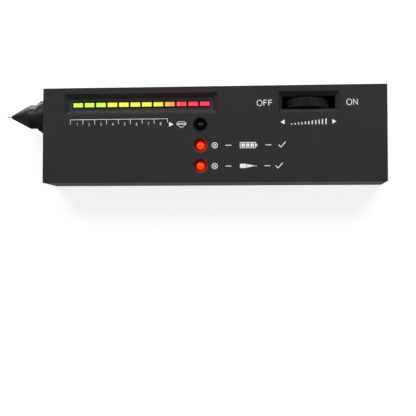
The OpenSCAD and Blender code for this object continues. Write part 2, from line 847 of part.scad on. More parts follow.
module board_screws() {
    color(steel) for (p = standoff_places) translate([p[0], p[1], board_bottom]) difference() {
        union() {
            cylinder(d = board_screw_d, h = board_t + board_screw_l - 1);
            translate([0, 0, -board_screw_head_h]) cylinder(d = board_screw_head_d, h = board_screw_head_h);
        }
        translate([0, 0, -board_screw_head_h])
            cube([2*board_screw_head_d, 0.5, 1], center = true);
    }
}

module bar_at(i) {
    translate([bar_x0 + i*bar_pitch, window_y, 0]) children();
}

module bar_holder() {
    top = window_floor - window_floor_t - seat_gap;
    color(black) difference() {
        translate([window_x - bars_l/2 - bar_holder_wall, window_y - bar_w/2 - bar_holder_wall, board_top])
            cube([bars_l + 2*bar_holder_wall, bar_w + 2*bar_holder_wall, top - board_top]);
        for (i = [0 : bar_count - 1]) bar_at(i) translate([0, 0, board_top - 1])
            linear_extrude(top - board_top + 2) square([bar_l + 2*fit, bar_w + 2*fit], center = true);
    }
}

module bar_leds(first, count) {
    for (i = [first : first + count - 1]) bar_at(i) translate([0, 0, board_top])
        linear_extrude(bar_top - board_top) rounded_rect(bar_l, bar_w, 0.25);
}

module bar_leds_green() {
    color([0.75, 1, 0.3]) bar_leds(0, green_bars);
}

module bar_leds_yellow() {
    color([1, 1, 0.3]) bar_leds(green_bars, yellow_bars);
}

module bar_leds_orange() {
    color([1, 0.6, 0.3]) bar_leds(green_bars + yellow_bars, orange_bars);
}

module bar_leds_red() {
    color([1, 0.24, 0.36]) bar_leds(green_bars + yellow_bars + orange_bars, red_bars);
}

module lamp(i) {
    translate([lamp_x, lamp_y0 - i*lamp_pitch, lamp_base_z]) union() {
        cylinder(d = lamp_flange_d, h = lamp_flange_h);
        cylinder(d = lamp_d, h = lamp_body_h);
        translate([0, 0, lamp_body_h]) intersection() {
            sphere(d = lamp_d);
            translate([0, 0, -eps]) cylinder(d = 2*lamp_d, h = lamp_d);
        }
        for (s = [-1, 1])
            translate([s*lead_spread/2 - lead_side/2, -lead_side/2, board_top - lamp_base_z])
                cube([lead_side, lead_side, lamp_base_z - board_top + eps]);
    }
}

module lamps_red() {
    color([1, 0.3, 0.08]) for (i = [1 : lamp_count - 1]) lamp(i);
}

module lamp_dark() {
    color([0.02, 0.02, 0.02]) lamp(0);
}

// A dual in-line chip with its rows of pins along X
module chip(pins) {
    row = pins/2;
    body_len = row*chip_pin_pitch;
    pin_w = 0.5;
    union() {
        translate([-body_len/2, -chip_w/2, chip_lift]) cube([body_len, chip_w, chip_h]);
        for (s = [-1, 1], k = [0 : row - 1]) {
            x = (k - (row - 1)/2)*chip_pin_pitch - pin_w/2;
            translate([x, s > 0 ? chip_w/2 - eps : -chip_row/2 - 0.15, chip_lift + chip_h/2])
                cube([pin_w, chip_row/2 - chip_w/2 + 0.15 + eps, 0.3]);
            translate([x, s*chip_row/2 - 0.15, 0]) cube([pin_w, 0.3, chip_lift + chip_h/2 + 0.3]);
        }
    }
}

module driver_chips() {
    color(black) for (p = driver_places) translate([p[0], p[1], board_top]) chip(driver_pins);
}

module amplifier_chip() {
    color(black) translate([amplifier_place[0], amplifier_place[1], board_top]) chip(amplifier_pins);
}

module buzzer() {
    color(black) translate([buzzer_place[0], buzzer_place[1], board_bottom - buzzer_h]) difference() {
        cylinder(d = buzzer_d, h = buzzer_h);
        translate([0, 0, -0.5]) cylinder(d = 2, h = 2);
    }
}

module trimmers() {
    color("royalblue") for (p = trimmer_places) translate([p[0], p[1], board_top]) difference() {
        translate([-trimmer_side/2, -trimmer_side/2, 0]) cube([trimmer_side, trimmer_side, trimmer_h]);
        translate([0, 0, trimmer_h]) cube([3.2, 0.6, 1.4], center = true);
    }
}

module capacitors() {
    color("navy") for (p = capacitor_places) translate([p[0], p[1], board_top]) rotate_extrude()
        turned_step(capacitor_d/2, 0, capacitor_h, 0.5);
}

module resistors() {
    lead_d = 0.6;
    color("tan") for (i = [0 : resistor_count - 1])
        translate([resistor_x0 + i*resistor_pitch, resistor_y, board_top + resistor_d/2]) union() {
            rotate([0, 90, 0]) cylinder(d = resistor_d, h = resistor_l, center = true);
            rotate([0, 90, 0]) cylinder(d = lead_d, h = resistor_span, center = true);
            for (s = [-1, 1]) translate([s*(resistor_span - lead_d)/2, 0, -resistor_d/2])
                cylinder(d = lead_d, h = resistor_d/2);
        }
}

// Battery and its connector

module battery() {
    color([0.16, 0.16, 0.18]) translate([bat_x0, bat_y, bat_mid_z]) rotate([90, 0, 90])
        linear_extrude(bat_l) rounded_rect(bat_w, bat_t, 2);
}

module terminal_at(s) {
    translate([bat_x0, bat_y + s*terminal_pitch/2, bat_mid_z]) rotate([0, -90, 0]) children();
}

module battery_terminals() {
    color(steel) {
        terminal_at(1) cylinder(d = terminal_small_d, h = terminal_h);
        terminal_at(-1) difference() {
            cylinder(d = terminal_big_d, h = terminal_h);
            translate([0, 0, 0.6]) cylinder(d = terminal_small_d, h = terminal_h);
        }
    }
}

module snap_connector() {
    color(black) difference() {
        translate([snap_x0, bat_y, bat_mid_z]) rotate([90, 0, 90])
            linear_extrude(snap_t) rounded_rect(snap_w + terminal_pitch, snap_w, snap_w/2 - fit);
        terminal_at(1) cylinder(d = terminal_small_d + 2*fit, h = terminal_h + seat_gap);
        terminal_at(-1) cylinder(d = terminal_big_d + 2*fit, h = terminal_h + seat_gap);
    }
}

module battery_lead_red() {
    color("red") lead([red_from, red_from - [2, 0, 0], red_to + [5, 2.4, 4.4], red_to + [0.6, 0.3, 3],
        red_to + [0, 0, 1.6], red_to]);
}

module battery_lead_black() {
    color([0.1, 0.1, 0.1]) lead([black_from, black_from - [2, 0, 0], black_to + [5, 1.2, 4.2],
        black_to + [0.6, 0.2, 3], black_to + [0, 0, 1.6], black_to]);
}

module battery_pad() {
    pad_l = 32;
    pad_w = 18;
    color("dimgray") translate([bat_x0 + bat_l/2 - pad_l/2, bat_y - pad_w/2, bat_z0 + bat_t])
        cube([pad_l, pad_w, inner_top - bat_z0 - bat_t]);
}

upper_shell();
lower_shell();
battery_door();
case_screws();
thumbwheel();
wheel_screw();
pot_shaft();
potentiometer();
volume_board();
volume_leads();
probe_collar();
nose_cone();
probe_tip();
sensor_slug();
probe_spring();
probe_plug();
probe_leads();
main_board();
board_screws();
bar_holder();
bar_leds_green();
bar_leds_yellow();
bar_leds_orange();
bar_leds_red();
lamps_red();
lamp_dark();
driver_chips();
amplifier_chip();
buzzer();
trimmers();
capacitors();
resistors();
battery();
battery_terminals();
snap_connector();
battery_lead_red();
battery_lead_black();
battery_pad();
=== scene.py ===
import math

import bpy
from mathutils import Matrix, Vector


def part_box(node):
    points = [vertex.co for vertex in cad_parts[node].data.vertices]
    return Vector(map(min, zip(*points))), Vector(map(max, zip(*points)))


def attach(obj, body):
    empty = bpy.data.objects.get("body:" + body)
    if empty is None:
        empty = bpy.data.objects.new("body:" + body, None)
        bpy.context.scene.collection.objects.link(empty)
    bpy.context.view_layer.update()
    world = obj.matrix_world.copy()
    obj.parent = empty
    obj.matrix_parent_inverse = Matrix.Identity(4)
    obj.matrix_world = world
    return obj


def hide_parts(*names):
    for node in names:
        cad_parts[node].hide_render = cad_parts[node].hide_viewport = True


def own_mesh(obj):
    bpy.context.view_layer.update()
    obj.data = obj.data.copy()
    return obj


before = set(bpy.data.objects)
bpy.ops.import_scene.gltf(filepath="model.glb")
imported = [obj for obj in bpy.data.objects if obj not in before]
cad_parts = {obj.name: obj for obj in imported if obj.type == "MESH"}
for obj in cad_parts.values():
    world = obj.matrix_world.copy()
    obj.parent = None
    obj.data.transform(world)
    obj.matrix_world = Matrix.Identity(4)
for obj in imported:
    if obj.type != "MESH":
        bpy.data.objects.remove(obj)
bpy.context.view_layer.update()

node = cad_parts
bpy.ops.object.select_all(action="DESELECT")


# Case: two shells moulded in charcoal ABS with a fine eroded grain, held together by screws in the back.
# The sloping sides of the display window and of the wheel's recess come from smoother inserts in the tool.

def feed(socket, value):
    """Links another socket to an input, or sets the input's own value."""
    if isinstance(value, bpy.types.NodeSocket):
        socket.id_data.links.new(value, socket)
    else:
        socket.default_value = value


def place(tree, kind, inputs=None, **settings):
    """Adds a node with its settings and with what goes into its sockets."""
    made = tree.nodes.new(kind)
    for name, value in settings.items():
        setattr(made, name, value)
    for socket, value in (inputs or {}).items():
        feed(made.inputs[socket], value)
    return made


def maths(tree, operation, *terms):
    """The result of a calculation with sockets and plain numbers."""
    return place(tree, "ShaderNodeMath", dict(enumerate(terms)), operation=operation).outputs[0]


def vector_maths(tree, operation, first, second=None):
    """The result of a calculation with a vector: a number for a length or a dot product, else a vector."""
    made = place(tree, "ShaderNodeVectorMath", {0: first}, operation=operation)
    if second is not None:
        feed(made.inputs["Scale" if operation == "SCALE" else 1], second)
    return made.outputs["Value" if operation in ("LENGTH", "DOT_PRODUCT") else "Vector"]


def spread(tree, value, low, high, to_low=0.0, to_high=1.0, **settings):
    """A value that runs from low to high, stretched to another span and held at its ends."""
    span = {"Value": value, "From Min": low, "From Max": high, "To Min": to_low, "To Max": to_high}
    return place(tree, "ShaderNodeMapRange", span, **settings).outputs[0]


def blend(tree, share, first, second, kind="MIX"):
    """Two colours blended by a share. Each is a socket, or plain red, green and blue."""
    inputs = {0: share}
    for slot, colour in ((6, first), (7, second)):
        inputs[slot] = colour if isinstance(colour, bpy.types.NodeSocket) else (*colour, 1)
    return place(tree, "ShaderNodeMix", inputs, data_type="RGBA", blend_type=kind).outputs[2]


def colour_ramp(tree, share, stops, interpolation="LINEAR"):
    """A colour looked up along a row of stops, each with its place and its red, green and blue."""
    made = place(tree, "ShaderNodeValToRGB", {0: share})
    made.color_ramp.interpolation = interpolation
    row = made.color_ramp.elements
    for end, (at, colour) in ((row[0], stops[0]), (row[1], stops[-1])):
        end.position = at
        end.color = (*colour, 1)
    for at, colour in stops[1:-1]:
        row.new(at).color = (*colour, 1)
    return made.outputs[0]


def object_at(tree):
    """The place of a point on the piece, as one socket."""
    return place(tree, "ShaderNodeTexCoord").outputs["Object"]


def parts_of(tree, vector):
    """The X, Y and Z of a vector."""
    return place(tree, "ShaderNodeSeparateXYZ", {0: vector}).outputs


def new_finish(name, **values):
    """A material with one Principled shader, whose plain values are set by socket name."""
    made = bpy.data.materials.new(name)
    made.use_nodes = True
    shader = made.node_tree.nodes["Principled BSDF"]
    for socket, value in values.items():
        shader.inputs[socket.replace("_", " ")].default_value = value
    return made, made.node_tree, shader


def dress(material, *names):
    """Gives CAD nodes a finish in all their material slots."""
    for name in names:
        mesh = node[name].data
        if not mesh.materials:
            mesh.materials.append(material)
        for i in range(len(mesh.materials)):
            mesh.materials[i] = material


def new_group(name, inputs, outputs):
    """A node group with float inputs and float or colour outputs: its tree, and the sockets at both ends."""
    tree = bpy.data.node_groups.new(name, "ShaderNodeTree")
    for label in inputs:
        tree.interface.new_socket(label, in_out="INPUT", socket_type="NodeSocketFloat")
    for label, kind in outputs.items():
        tree.interface.new_socket(label, in_out="OUTPUT", socket_type=kind)
    return tree, place(tree, "NodeGroupInput").outputs, place(tree, "NodeGroupOutput").inputs


# Moulded grain: a fine eroded texture for the bump, and a slow cloudiness for tone and gloss
grain, grain_in, grain_out = new_group(
    "moulded_grain", ["Fineness", "Cloud"], {"Tone": "NodeSocketFloat", "Height": "NodeSocketFloat"})
grain_at = object_at(grain)
fine = place(grain, "ShaderNodeTexNoise", {
    "Vector": grain_at, "Scale": grain_in["Fineness"], "Detail": 3, "Roughness": 0.6}).outputs["Fac"]
cloud = place(grain, "ShaderNodeTexNoise", {
    "Vector": grain_at, "Scale": grain_in["Cloud"], "Detail": 4, "Roughness": 0.55}).outputs["Fac"]
feed(grain_out["Tone"], maths(grain, "MULTIPLY_ADD", fine, 0.35, cloud))
feed(grain_out["Height"], fine)

# Plan of a rectangular recess in the face: 1 inside its box and above its floor, 0 outside it
plan, plan_in, plan_out = new_group(
    "inside_recess", ["Middle X", "Middle Y", "Half X", "Half Y", "Floor"], {"Mask": "NodeSocketFloat"})
plan_at = parts_of(plan, object_at(plan))
in_plan = maths(plan, "GREATER_THAN", plan_at["Z"], plan_in["Floor"])
for axis in "XY":
    off_middle = maths(plan, "ABSOLUTE", maths(plan, "SUBTRACT", plan_at[axis], plan_in["Middle " + axis]))
    in_plan = maths(plan, "MULTIPLY", in_plan, maths(plan, "LESS_THAN", off_middle, plan_in["Half " + axis]))
feed(plan_out["Mask"], in_plan)

# A lamp's countersink: where it lies, and a painted red glow in it that stands in for the lamp's light,
# painted brighter towards +X and -Y
sink_r, sink_rim, sink_foot, painted_bright_way = 0.00315, 0.02285, 0.0205, (0.72, -0.69, 0)
sink, sink_in, sink_out = new_group(
    "lamp_sink", ["Lamp X", "Lamp Y"], {"Mask": "NodeSocketFloat", "Light": "NodeSocketColor"})
sink_at = parts_of(sink, object_at(sink))
from_lamp = place(sink, "ShaderNodeCombineXYZ", {
    axis: maths(sink, "SUBTRACT", sink_at[axis], sink_in["Lamp " + axis]) for axis in "XY"}).outputs[0]
near_lamp = spread(sink, vector_maths(sink, "LENGTH", from_lamp), sink_r + 0.0003, sink_r)
in_sink = maths(sink, "MULTIPLY", near_lamp, spread(sink, sink_at["Z"], sink_rim + 0.000145, sink_rim))
in_sink = maths(sink, "MULTIPLY", in_sink, spread(sink, sink_at["Z"], sink_foot, sink_foot + 0.0013))
# Painted light: the red glow is painted brighter towards +X and -Y
ahead = vector_maths(sink, "DOT_PRODUCT", from_lamp, painted_bright_way)
painted_glow_side = spread(sink, ahead, -0.00285, 0.00285, 0.24, 0.64)
red_share = maths(sink, "MULTIPLY", in_sink, maths(sink, "POWER", painted_glow_side, 2.0))
feed(sink_out["Mask"], in_sink)
feed(sink_out["Light"], blend(sink, red_share, (0, 0, 0), (1.0, 0.03, 0.02)))

# Painted light of the display's bars on the window's slopes: faint dashes of painted reflection below, a
# painted tint above and at the red end
dash_count, dash_start, dash_pitch = 12, -0.06266, 0.005165
slopes, _, slopes_out = new_group("window_light", [], {"Colour": "NodeSocketColor"})
slopes_at = parts_of(slopes, object_at(slopes))
dash_at = spread(slopes, slopes_at["X"], dash_start, dash_start + dash_count * dash_pitch, 0.0, dash_count)
off_dash = maths(slopes, "ABSOLUTE", maths(slopes, "SUBTRACT", maths(slopes, "FRACT", dash_at), 0.475))
dash_row = maths(slopes, "MINIMUM", spread(slopes, slopes_at["Y"], 0.0094, 0.0109),
                 spread(slopes, slopes_at["Y"], 0.01118, 0.01098))
painted_slope_light = maths(slopes, "MULTIPLY", spread(slopes, off_dash, 0.47, 0.42), dash_row)
for part in (spread(slopes, slopes_at["Y"], 0.0165, 0.0168, 0.0, 0.17),
             spread(slopes, slopes_at["X"], 0.0002, 0.0008, 0.0, 0.2)):
    painted_slope_light = maths(slopes, "MAXIMUM", painted_slope_light, part)
slope_tint = colour_ramp(slopes, spread(slopes, slopes_at["X"], -0.064, 0.0), (
    (0.0, (0.0005, 0.023, 0.0005)), (0.26, (0.0005, 0.026, 0.0005)), (0.31, (0.007, 0.026, 0.0)),
    (0.382, (0.02, 0.0165, 0.0)), (0.463, (0.035, 0.0095, 0.0005)), (0.56, (0.038, 0.003, 0.0)),
    (0.8, (0.046, 0.0, 0.0005)), (1.0, (0.049, 0.0, 0.001))))
feed(slopes_out["Colour"], vector_maths(slopes, "SCALE", slope_tint, painted_slope_light))


def moulded(name, dark, light, gloss, fineness=2400, cloud_scale=70, bump=0.25, **values):
    """Moulded plastic: two near tones, a span of roughness and a grain. Its tone comes back as a socket."""
    made, tree, shader = new_finish(name, **values)
    scales = {"Fineness": fineness, "Cloud": cloud_scale}
    look = place(tree, "ShaderNodeGroup", scales, node_tree=grain).outputs
    relief = place(tree, "ShaderNodeBump", {"Strength": bump, "Distance": 0.00003, "Height": look["Height"]})
    tone = blend(tree, spread(tree, look["Tone"], 0.4, 0.95), dark, light)
    feed(shader.inputs["Base Color"], tone)
    feed(shader.inputs["Roughness"], spread(tree, look["Tone"], 0.4, 1.0, *gloss))
    feed(shader.inputs["Normal"], relief.outputs[0])
    return made, tree, shader, tone


case_plastic, case_tree, case_shader, case_tone = moulded(
    "case_plastic", (0.0335, 0.0315, 0.0325), (0.0385, 0.0365, 0.0375), (0.6, 0.75),
    Specular_IOR_Level=0.0, Coat_Roughness=0.15, Emission_Strength=1.0)


def in_recess(middle, half, floor):
    """A mask of a rectangle of the face, by its middle and half sizes, down to a floor."""
    return place(case_tree, "ShaderNodeGroup", {
        "Middle X": middle[0], "Middle Y": middle[1], "Half X": half[0], "Half Y": half[1], "Floor": floor},
        node_tree=plan).outputs["Mask"]


# The inserts are smoother than the case; the window's slopes and floor are painted paler as a stand-in for
# sheen, the upper slope less pale, as painted shade
recess_floor, slot_floor = 0.0198, 0.015
window_middle, wheel_middle = (-0.032425, 0.01395), (0.04285, 0.01395)
window_in = in_recess(window_middle, (0.0328, 0.0049), recess_floor)
inserts = maths(case_tree, "MAXIMUM", window_in, in_recess(wheel_middle, (0.0137, 0.0049), recess_floor))
feed(case_shader.inputs["Coat Weight"], spread(case_tree, inserts, 0.0, 1.0, 0.08, 0.35))
upper_slope = spread(case_tree, parts_of(case_tree, object_at(case_tree))["Y"], 0.0164, 0.0168)
window_tone = blend(case_tree, upper_slope, (1.22, 1.24, 1.2), (1.1, 1.02, 1.0))
case_tone = blend(case_tree, window_in, case_tone, window_tone, "MULTIPLY")

# The slope below the bars is painted a little darker, the floor above them is painted in half shade, and
# lines of painted shadow run below the row of bars and along the lower edge of the wheel's opening
row_low, row_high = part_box("bar_leds_green")[0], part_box("bar_leds_red")[1]
for x0, x1, y0, y1, share in (
        (-0.0643, -0.0006, 0.00905, 0.0112, (0.82, 0.82, 0.82)),
        (-0.0630, -0.0018, row_high.y, 0.0166, (0.72, 0.75, 0.65)),
        (row_low.x - 0.0003, row_high.x + 0.0003, row_low.y - 0.0006, row_low.y + 0.0001, (0.06, 0.05, 0.09)),
        (0.03105, 0.05465, 0.01085, 0.01145, (0.1, 0.1, 0.11))):
    painted_shade_strip = in_recess(((x0 + x1) / 2, (y0 + y1) / 2), ((x1 - x0) / 2, (y1 - y0) / 2), slot_floor)
    case_tone = blend(case_tree, painted_shade_strip, case_tone, share, "MULTIPLY")

# The countersinks are painted darker as shade, and two of them get a painted red glow that stands in for
# their lamps' light
lamp_x, lamp_rows = -0.0054, (0.0042, -0.0050, -0.0142)
painted_sink_glows = []
for lamp_y in lamp_rows:
    spot = {"Lamp X": lamp_x, "Lamp Y": lamp_y}
    lamp_hole = place(case_tree, "ShaderNodeGroup", spot, node_tree=sink).outputs
    case_tone = blend(case_tree, lamp_hole["Mask"], case_tone, (0.36, 0.36, 0.36), "MULTIPLY")
    painted_sink_glows.append(lamp_hole["Light"])
feed(case_shader.inputs["Base Color"], case_tone)
# The case's emission is painted light: the lamps' red glow in two countersinks and the bars' light on the
# window's slopes
painted_lamp_glow = blend(case_tree, 1.0, *painted_sink_glows[1:], "ADD")
bar_light = vector_maths(case_tree, "SCALE", place(case_tree, "ShaderNodeGroup", node_tree=slopes).outputs[0],
                         in_recess(window_middle, (0.03485, 0.00478), recess_floor))
feed(case_shader.inputs["Emission Color"], blend(case_tree, 1.0, painted_lamp_glow, bar_light, "ADD"))
dress(case_plastic, "upper_shell", "lower_shell")


# Face print: white ink screened on the finished face in a thin film: a scale with its numbers under the
# display, arrows, the switch's words and plain signs beside the lamps. All sizes here are millimetres.

ink, ink_tree, ink_shader = new_finish("white_ink", Roughness=0.55, Specular_IOR_Level=0.3)
ink_look = place(
    ink_tree, "ShaderNodeGroup", {"Fineness": 5200, "Cloud": 420}, node_tree=grain).outputs["Tone"]
feed(ink_shader.inputs["Base Color"], blend(ink_tree, ink_look, (0.78, 0.78, 0.84), (0.92, 0.92, 0.97)))
face_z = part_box("upper_shell")[1].z
film = 0.000006


def open_mesh(shape, kind="FACE", action="SELECT"):
    """Opens a shape in edit mode with all or none of its faces, edges or corners selected."""
    bpy.context.view_layer.objects.active = shape
    bpy.ops.object.mode_set(mode="EDIT")
    bpy.ops.mesh.select_mode(type=kind)
    bpy.ops.mesh.select_all(action=action)


def close_mesh():
    """Leaves edit mode."""
    bpy.ops.object.mode_set(mode="OBJECT")


def ink_line(x0, y0, x1, y1, w):
    """A straight line of ink from one point to another."""
    bpy.ops.mesh.primitive_plane_add(
        size=1, location=((x0 + x1) / 2000, (y0 + y1) / 2000, face_z),
        rotation=(0, 0, math.atan2(y1 - y0, x1 - x0)))
    line = bpy.context.object
    line.scale = (math.hypot(x1 - x0, y1 - y0) / 1000, w / 1000, 1)
    bpy.ops.object.transform_apply()
    return line


def ink_outline(shape, w):
    """Leaves only a border of the given width round each face of a flat shape."""
    open_mesh(shape)
    bpy.ops.mesh.inset(thickness=w / 1000, use_individual=True)
    bpy.ops.mesh.delete(type="FACE")
    close_mesh()
    return shape


def ink_box(x0, x1, y0, y1):
    """A filled rectangle of ink."""
    return ink_line(x0, (y0 + y1) / 2, x1, (y0 + y1) / 2, y1 - y0)


def ink_taper(shape, axis, at, share):
    """Narrows the edge of a flat shape at a place along X (axis 0) or Y (axis 1); share 0 makes a point."""
    open_mesh(shape, "VERT", "DESELECT")
    close_mesh()
    ends = [v for v in shape.data.vertices if abs(v.co[axis] - at / 1000) < 1e-6]
    for v in ends:
        v.select = True
    middle = (ends[0].co + ends[1].co) / 2
    bpy.ops.object.mode_set(mode="EDIT")
    bpy.ops.transform.resize(value=(share, 1, 1) if axis else (1, share, 1), center_override=middle)
    if share == 0:
        bpy.ops.mesh.merge(type="CENTER")
    close_mesh()
    return shape


def ink_ring(x, y, r, w):
    """A ring of ink."""
    bpy.ops.mesh.primitive_circle_add(
        vertices=28, radius=r / 1000, fill_type="NGON", location=(x / 1000, y / 1000, face_z))
    bpy.ops.object.transform_apply()
    return ink_outline(bpy.context.object, w)


def ink_word(text, x0, x1, y0, y1, thinned=0.03):
    """Letters or a number, drawn to fill a rectangle of the face, less a thin border taken off all round.

    A rectangle with no width leaves the letters their own width, about its middle."""
    bpy.ops.object.text_add(location=(0, 0, 0))
    word = bpy.context.object
    word.data.body = text
    word.data.resolution_u = 4
    bpy.ops.object.convert(target="MESH")
    word = bpy.context.object
    low = [min(v.co[i] for v in word.data.vertices) for i in (0, 1)]
    high = [max(v.co[i] for v in word.data.vertices) for i in (0, 1)]
    grow = (y1 - y0) / 1000 / (high[1] - low[1])
    wide = (x1 - x0) / 1000 / (high[0] - low[0]) if x1 > x0 else grow
    word.scale = (wide, grow, 1)
    middle = (low[0] + high[0]) / 2 * wide
    word.location = ((x0 + x1) / 2000 - middle, y0 / 1000 - low[1] * grow, face_z)
    bpy.ops.object.transform_apply()
    open_mesh(word)
    bpy.ops.mesh.remove_doubles(threshold=1e-7)
    bpy.ops.mesh.inset(thickness=thinned / 1000, use_even_offset=True)
    bpy.ops.mesh.select_all(action="INVERT")
    bpy.ops.mesh.delete(type="FACE")
    close_mesh()
    return word


def join_shapes(name, shapes):
    """Joins shapes into one object with its own name."""
    bpy.ops.object.select_all(action="DESELECT")
    for shape in shapes:
        shape.select_set(True)
    bpy.context.view_layer.objects.active = shapes[0]
    bpy.ops.object.join()
    made = bpy.context.object
    made.name = made.data.name = name
    return made


def ink_print(name, shapes):
    """Joins flat shapes into one film of ink on the face and hands it to the case."""
    made = join_shapes(name, shapes)
    open_mesh(made)
    bpy.ops.mesh.remove_doubles(threshold=1e-7)
    bpy.ops.mesh.select_all(action="SELECT")
    bpy.ops.mesh.normals_make_consistent(inside=False)
    bpy.ops.mesh.extrude_region_move(TRANSFORM_OT_translate={"value": (0, 0, film)})
    bpy.ops.mesh.select_all(action="SELECT")
    bpy.ops.mesh.normals_make_consistent(inside=False)
    close_mesh()
    made.data.materials.clear()
    made.data.materials.append(ink)
    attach(made, "case")
    made.select_set(False)
    return made


# The scale: a long line with nine ticks and the numbers 1 to 8, ending in an arrow
line_low, line_high, tick_low, tick_half = 6.905, 7.105, 4.82, 0.1
first_tick, second_tick, tick_pitch = -64.33, -58.53, 5.405
scale_shapes = [ink_box(-64.43, -19.99, line_low, line_high), ink_box(-20.19, -19.99, 5.3, line_low)]
for tick_x in [first_tick] + [second_tick + i * tick_pitch for i in range(7)]:
    scale_shapes.append(ink_box(tick_x - tick_half, tick_x + tick_half, tick_low, line_low))
one_x, number_pitch, number_low, number_high = -61.12, 5.42, 4.16, 5.5
scale_shapes += [ink_box(one_x - 0.02, one_x + 0.13, 4.28, number_high),
                 ink_line(one_x - 0.3, 5.1, one_x - 0.05, 5.3, 0.14)]
for i in range(1, 8):
    number_x = one_x + i * number_pitch
    scale_shapes.append(ink_word(str(i + 1), number_x, number_x, number_low, number_high))
scale_shapes.append(ink_taper(ink_box(-19.4, -17.5, 3.4, 5.55), 0, -17.5, 0))
ink_print("scale_print", scale_shapes)

# A cut stone beside the scale's arrow
stone_left, stone_right, crown_high, stone_point, stone_line = -16.15, -11.5, 5.75, 2.75, 0.22
crown = ink_outline(
    ink_taper(ink_box(stone_left, stone_right, 4.7, crown_high), 1, crown_high, 0.6), stone_line)
pavilion = ink_outline(
    ink_taper(ink_box(stone_left, stone_right, stone_point, 4.55), 1, stone_point, 0), stone_line)
ink_print("stone_sign", [crown, pavilion])

# The switch's two words, and the volume arrows with a row of growing bars between them
ink_print("off_word", [ink_word("O", 19.71, 22.33, 12.1, 15.05), ink_word("F", 22.72, 24.25, 12.34, 15.0),
                       ink_word("F", 24.88, 26.58, 12.34, 15.0)])
ink_print("on_word", [ink_word("O", 59.12, 61.66, 12.08, 15.03), ink_word("N", 62.04, 64.09, 12.24, 14.98)])
arrow_low, arrow_high, arrow_left, arrow_right = 3.95, 6.1, 30.25, 54.75
volume_shapes = [ink_taper(ink_box(arrow_left, 32.1, arrow_low, arrow_high), 0, arrow_left, 0),
                 ink_taper(ink_box(52.95, arrow_right, arrow_low, arrow_high), 0, arrow_right, 0)]
for i in range(11):
    bar_x = 35.2 + i * 1.5
    volume_shapes.append(ink_box(bar_x - 0.24, bar_x + 0.24, 3.85, 4.3 + 0.2 * i))
ink_print("volume_sign", volume_shapes)


def lamp_sign(x, y):
    """The usual sign of a lamp: a ring with a cross in it."""
    arm, gap, w = 0.98 * math.cos(math.pi / 4), 0.12, 0.28
    return [ink_ring(x, y, 1.35, 0.3), ink_line(x - arm, y - arm, x + arm, y + arm, w),
            ink_line(x - arm, y + arm, x - gap, y + gap, w), ink_line(x + gap, y - gap, x + arm, y - arm, w)]


def tick_sign(x, y):
    """A tick: all is well."""
    w = 0.36
    return [ink_line(x - 1.5, y + 0.1, x - 0.5, y - 1.1, w), ink_line(x - 0.5, y - 1.1, x + 1.6, y + 1.35, w)]


def dash_sign(x, y):
    """A short dash between two signs."""
    return [ink_box(x - 1.3, x + 1.3, y - 0.16, y + 0.16)]


# Battery lamp: lamp, battery, tick. Ready lamp: lamp, probe, tick
low_y, ready_y = -5.1, -14.35
battery_shapes = [ink_outline(ink_box(12.3, 19.3, low_y - 1.35, low_y + 1.35), 0.3),
                  ink_box(19.3, 19.9, low_y - 0.6, low_y + 0.6)]
for cell_x in (13.0, 15.0, 17.0):
    battery_shapes.append(ink_box(cell_x, cell_x + 1.6, low_y - 0.75, low_y + 0.75))
ink_print("battery_sign", lamp_sign(1.1, low_y) + dash_sign(7.2, low_y) + battery_shapes
          + dash_sign(24.9, low_y) + tick_sign(30.9, low_y))
probe_shapes = [ink_box(12.3, 15.2, ready_y - 0.95, ready_y + 0.95),
                ink_taper(ink_box(15.4, 18.4, ready_y - 0.8, ready_y + 0.8), 0, 18.4, 0.2),
                ink_box(18.4, 19.9, ready_y - 0.12, ready_y + 0.12)]
ink_print("ready_sign", lamp_sign(1.1, ready_y) + dash_sign(7.2, ready_y) + probe_shapes
          + dash_sign(24.4, ready_y) + tick_sign(29.6, ready_y))


# Battery door: a thin sliding panel of the same plastic, with six finger grooves, in rails in the lower
# shell. Fingers keep it a little smoother than the case.

door_plastic = moulded("door_plastic", (0.0325, 0.0305, 0.0315), (0.0375, 0.0355, 0.0365), (0.5, 0.66),
                       Specular_IOR_Level=0.0, Coat_Weight=0.1, Coat_Roughness=0.2)[0]
dress(door_plastic, "battery_door")


# Screws: zinc-plated steel with cross-cut or slotted heads. Four hold the shells together, three hold the
# board, and one holds the wheel on its shaft, which is plated in the same way.

drawn, drawn_in, drawn_out = new_group(
    "drawn_metal", ["Fineness"], {"Tone": "NodeSocketFloat", "Height": "NodeSocketFloat"})
drawn_at = object_at(drawn)
along_draw = place(drawn, "ShaderNodeMapping", {"Vector": drawn_at, "Scale": (1.0, 0.06, 1.0)}).outputs[0]
lines = place(drawn, "ShaderNodeTexNoise", {
    "Vector": along_draw, "Scale": drawn_in["Fineness"], "Detail": 3, "Roughness": 0.65}).outputs["Fac"]
stain = place(drawn, "ShaderNodeTexNoise", {"Vector": drawn_at, "Scale": 900, "Detail": 3}).outputs["Fac"]
feed(drawn_out["Tone"], maths(drawn, "MULTIPLY_ADD", lines, 0.5, stain))
feed(drawn_out["Height"], lines)


def metal(name, dark, light, gloss, fineness=5000, bump=0.12):
    """Bare or plated metal with drawn lines and faint stains."""
    made, tree, shader = new_finish(name, Metallic=1.0)
    look = place(tree, "ShaderNodeGroup", {"Fineness": fineness}, node_tree=drawn).outputs
    relief = place(tree, "ShaderNodeBump", {"Strength": bump, "Distance": 0.00002, "Height": look["Height"]})
    feed(shader.inputs["Base Color"], blend(tree, spread(tree, look["Tone"], 0.45, 1.05), dark, light))
    feed(shader.inputs["Roughness"], spread(tree, look["Tone"], 0.45, 1.05, *gloss))
    feed(shader.inputs["Normal"], relief.outputs[0])
    return made


zinc = metal("zinc_plate", (0.44, 0.44, 0.46), (0.62, 0.62, 0.64), (0.24, 0.42))
dress(zinc, "case_screws", "board_screws", "wheel_screw", "pot_shaft")


# Light bars: twelve rectangular light-emitting diodes of diffusing resin, side by side in a black holder.
# Their colours run from lime over yellow and orange to a pink red, and two chips show in each as paler bands.

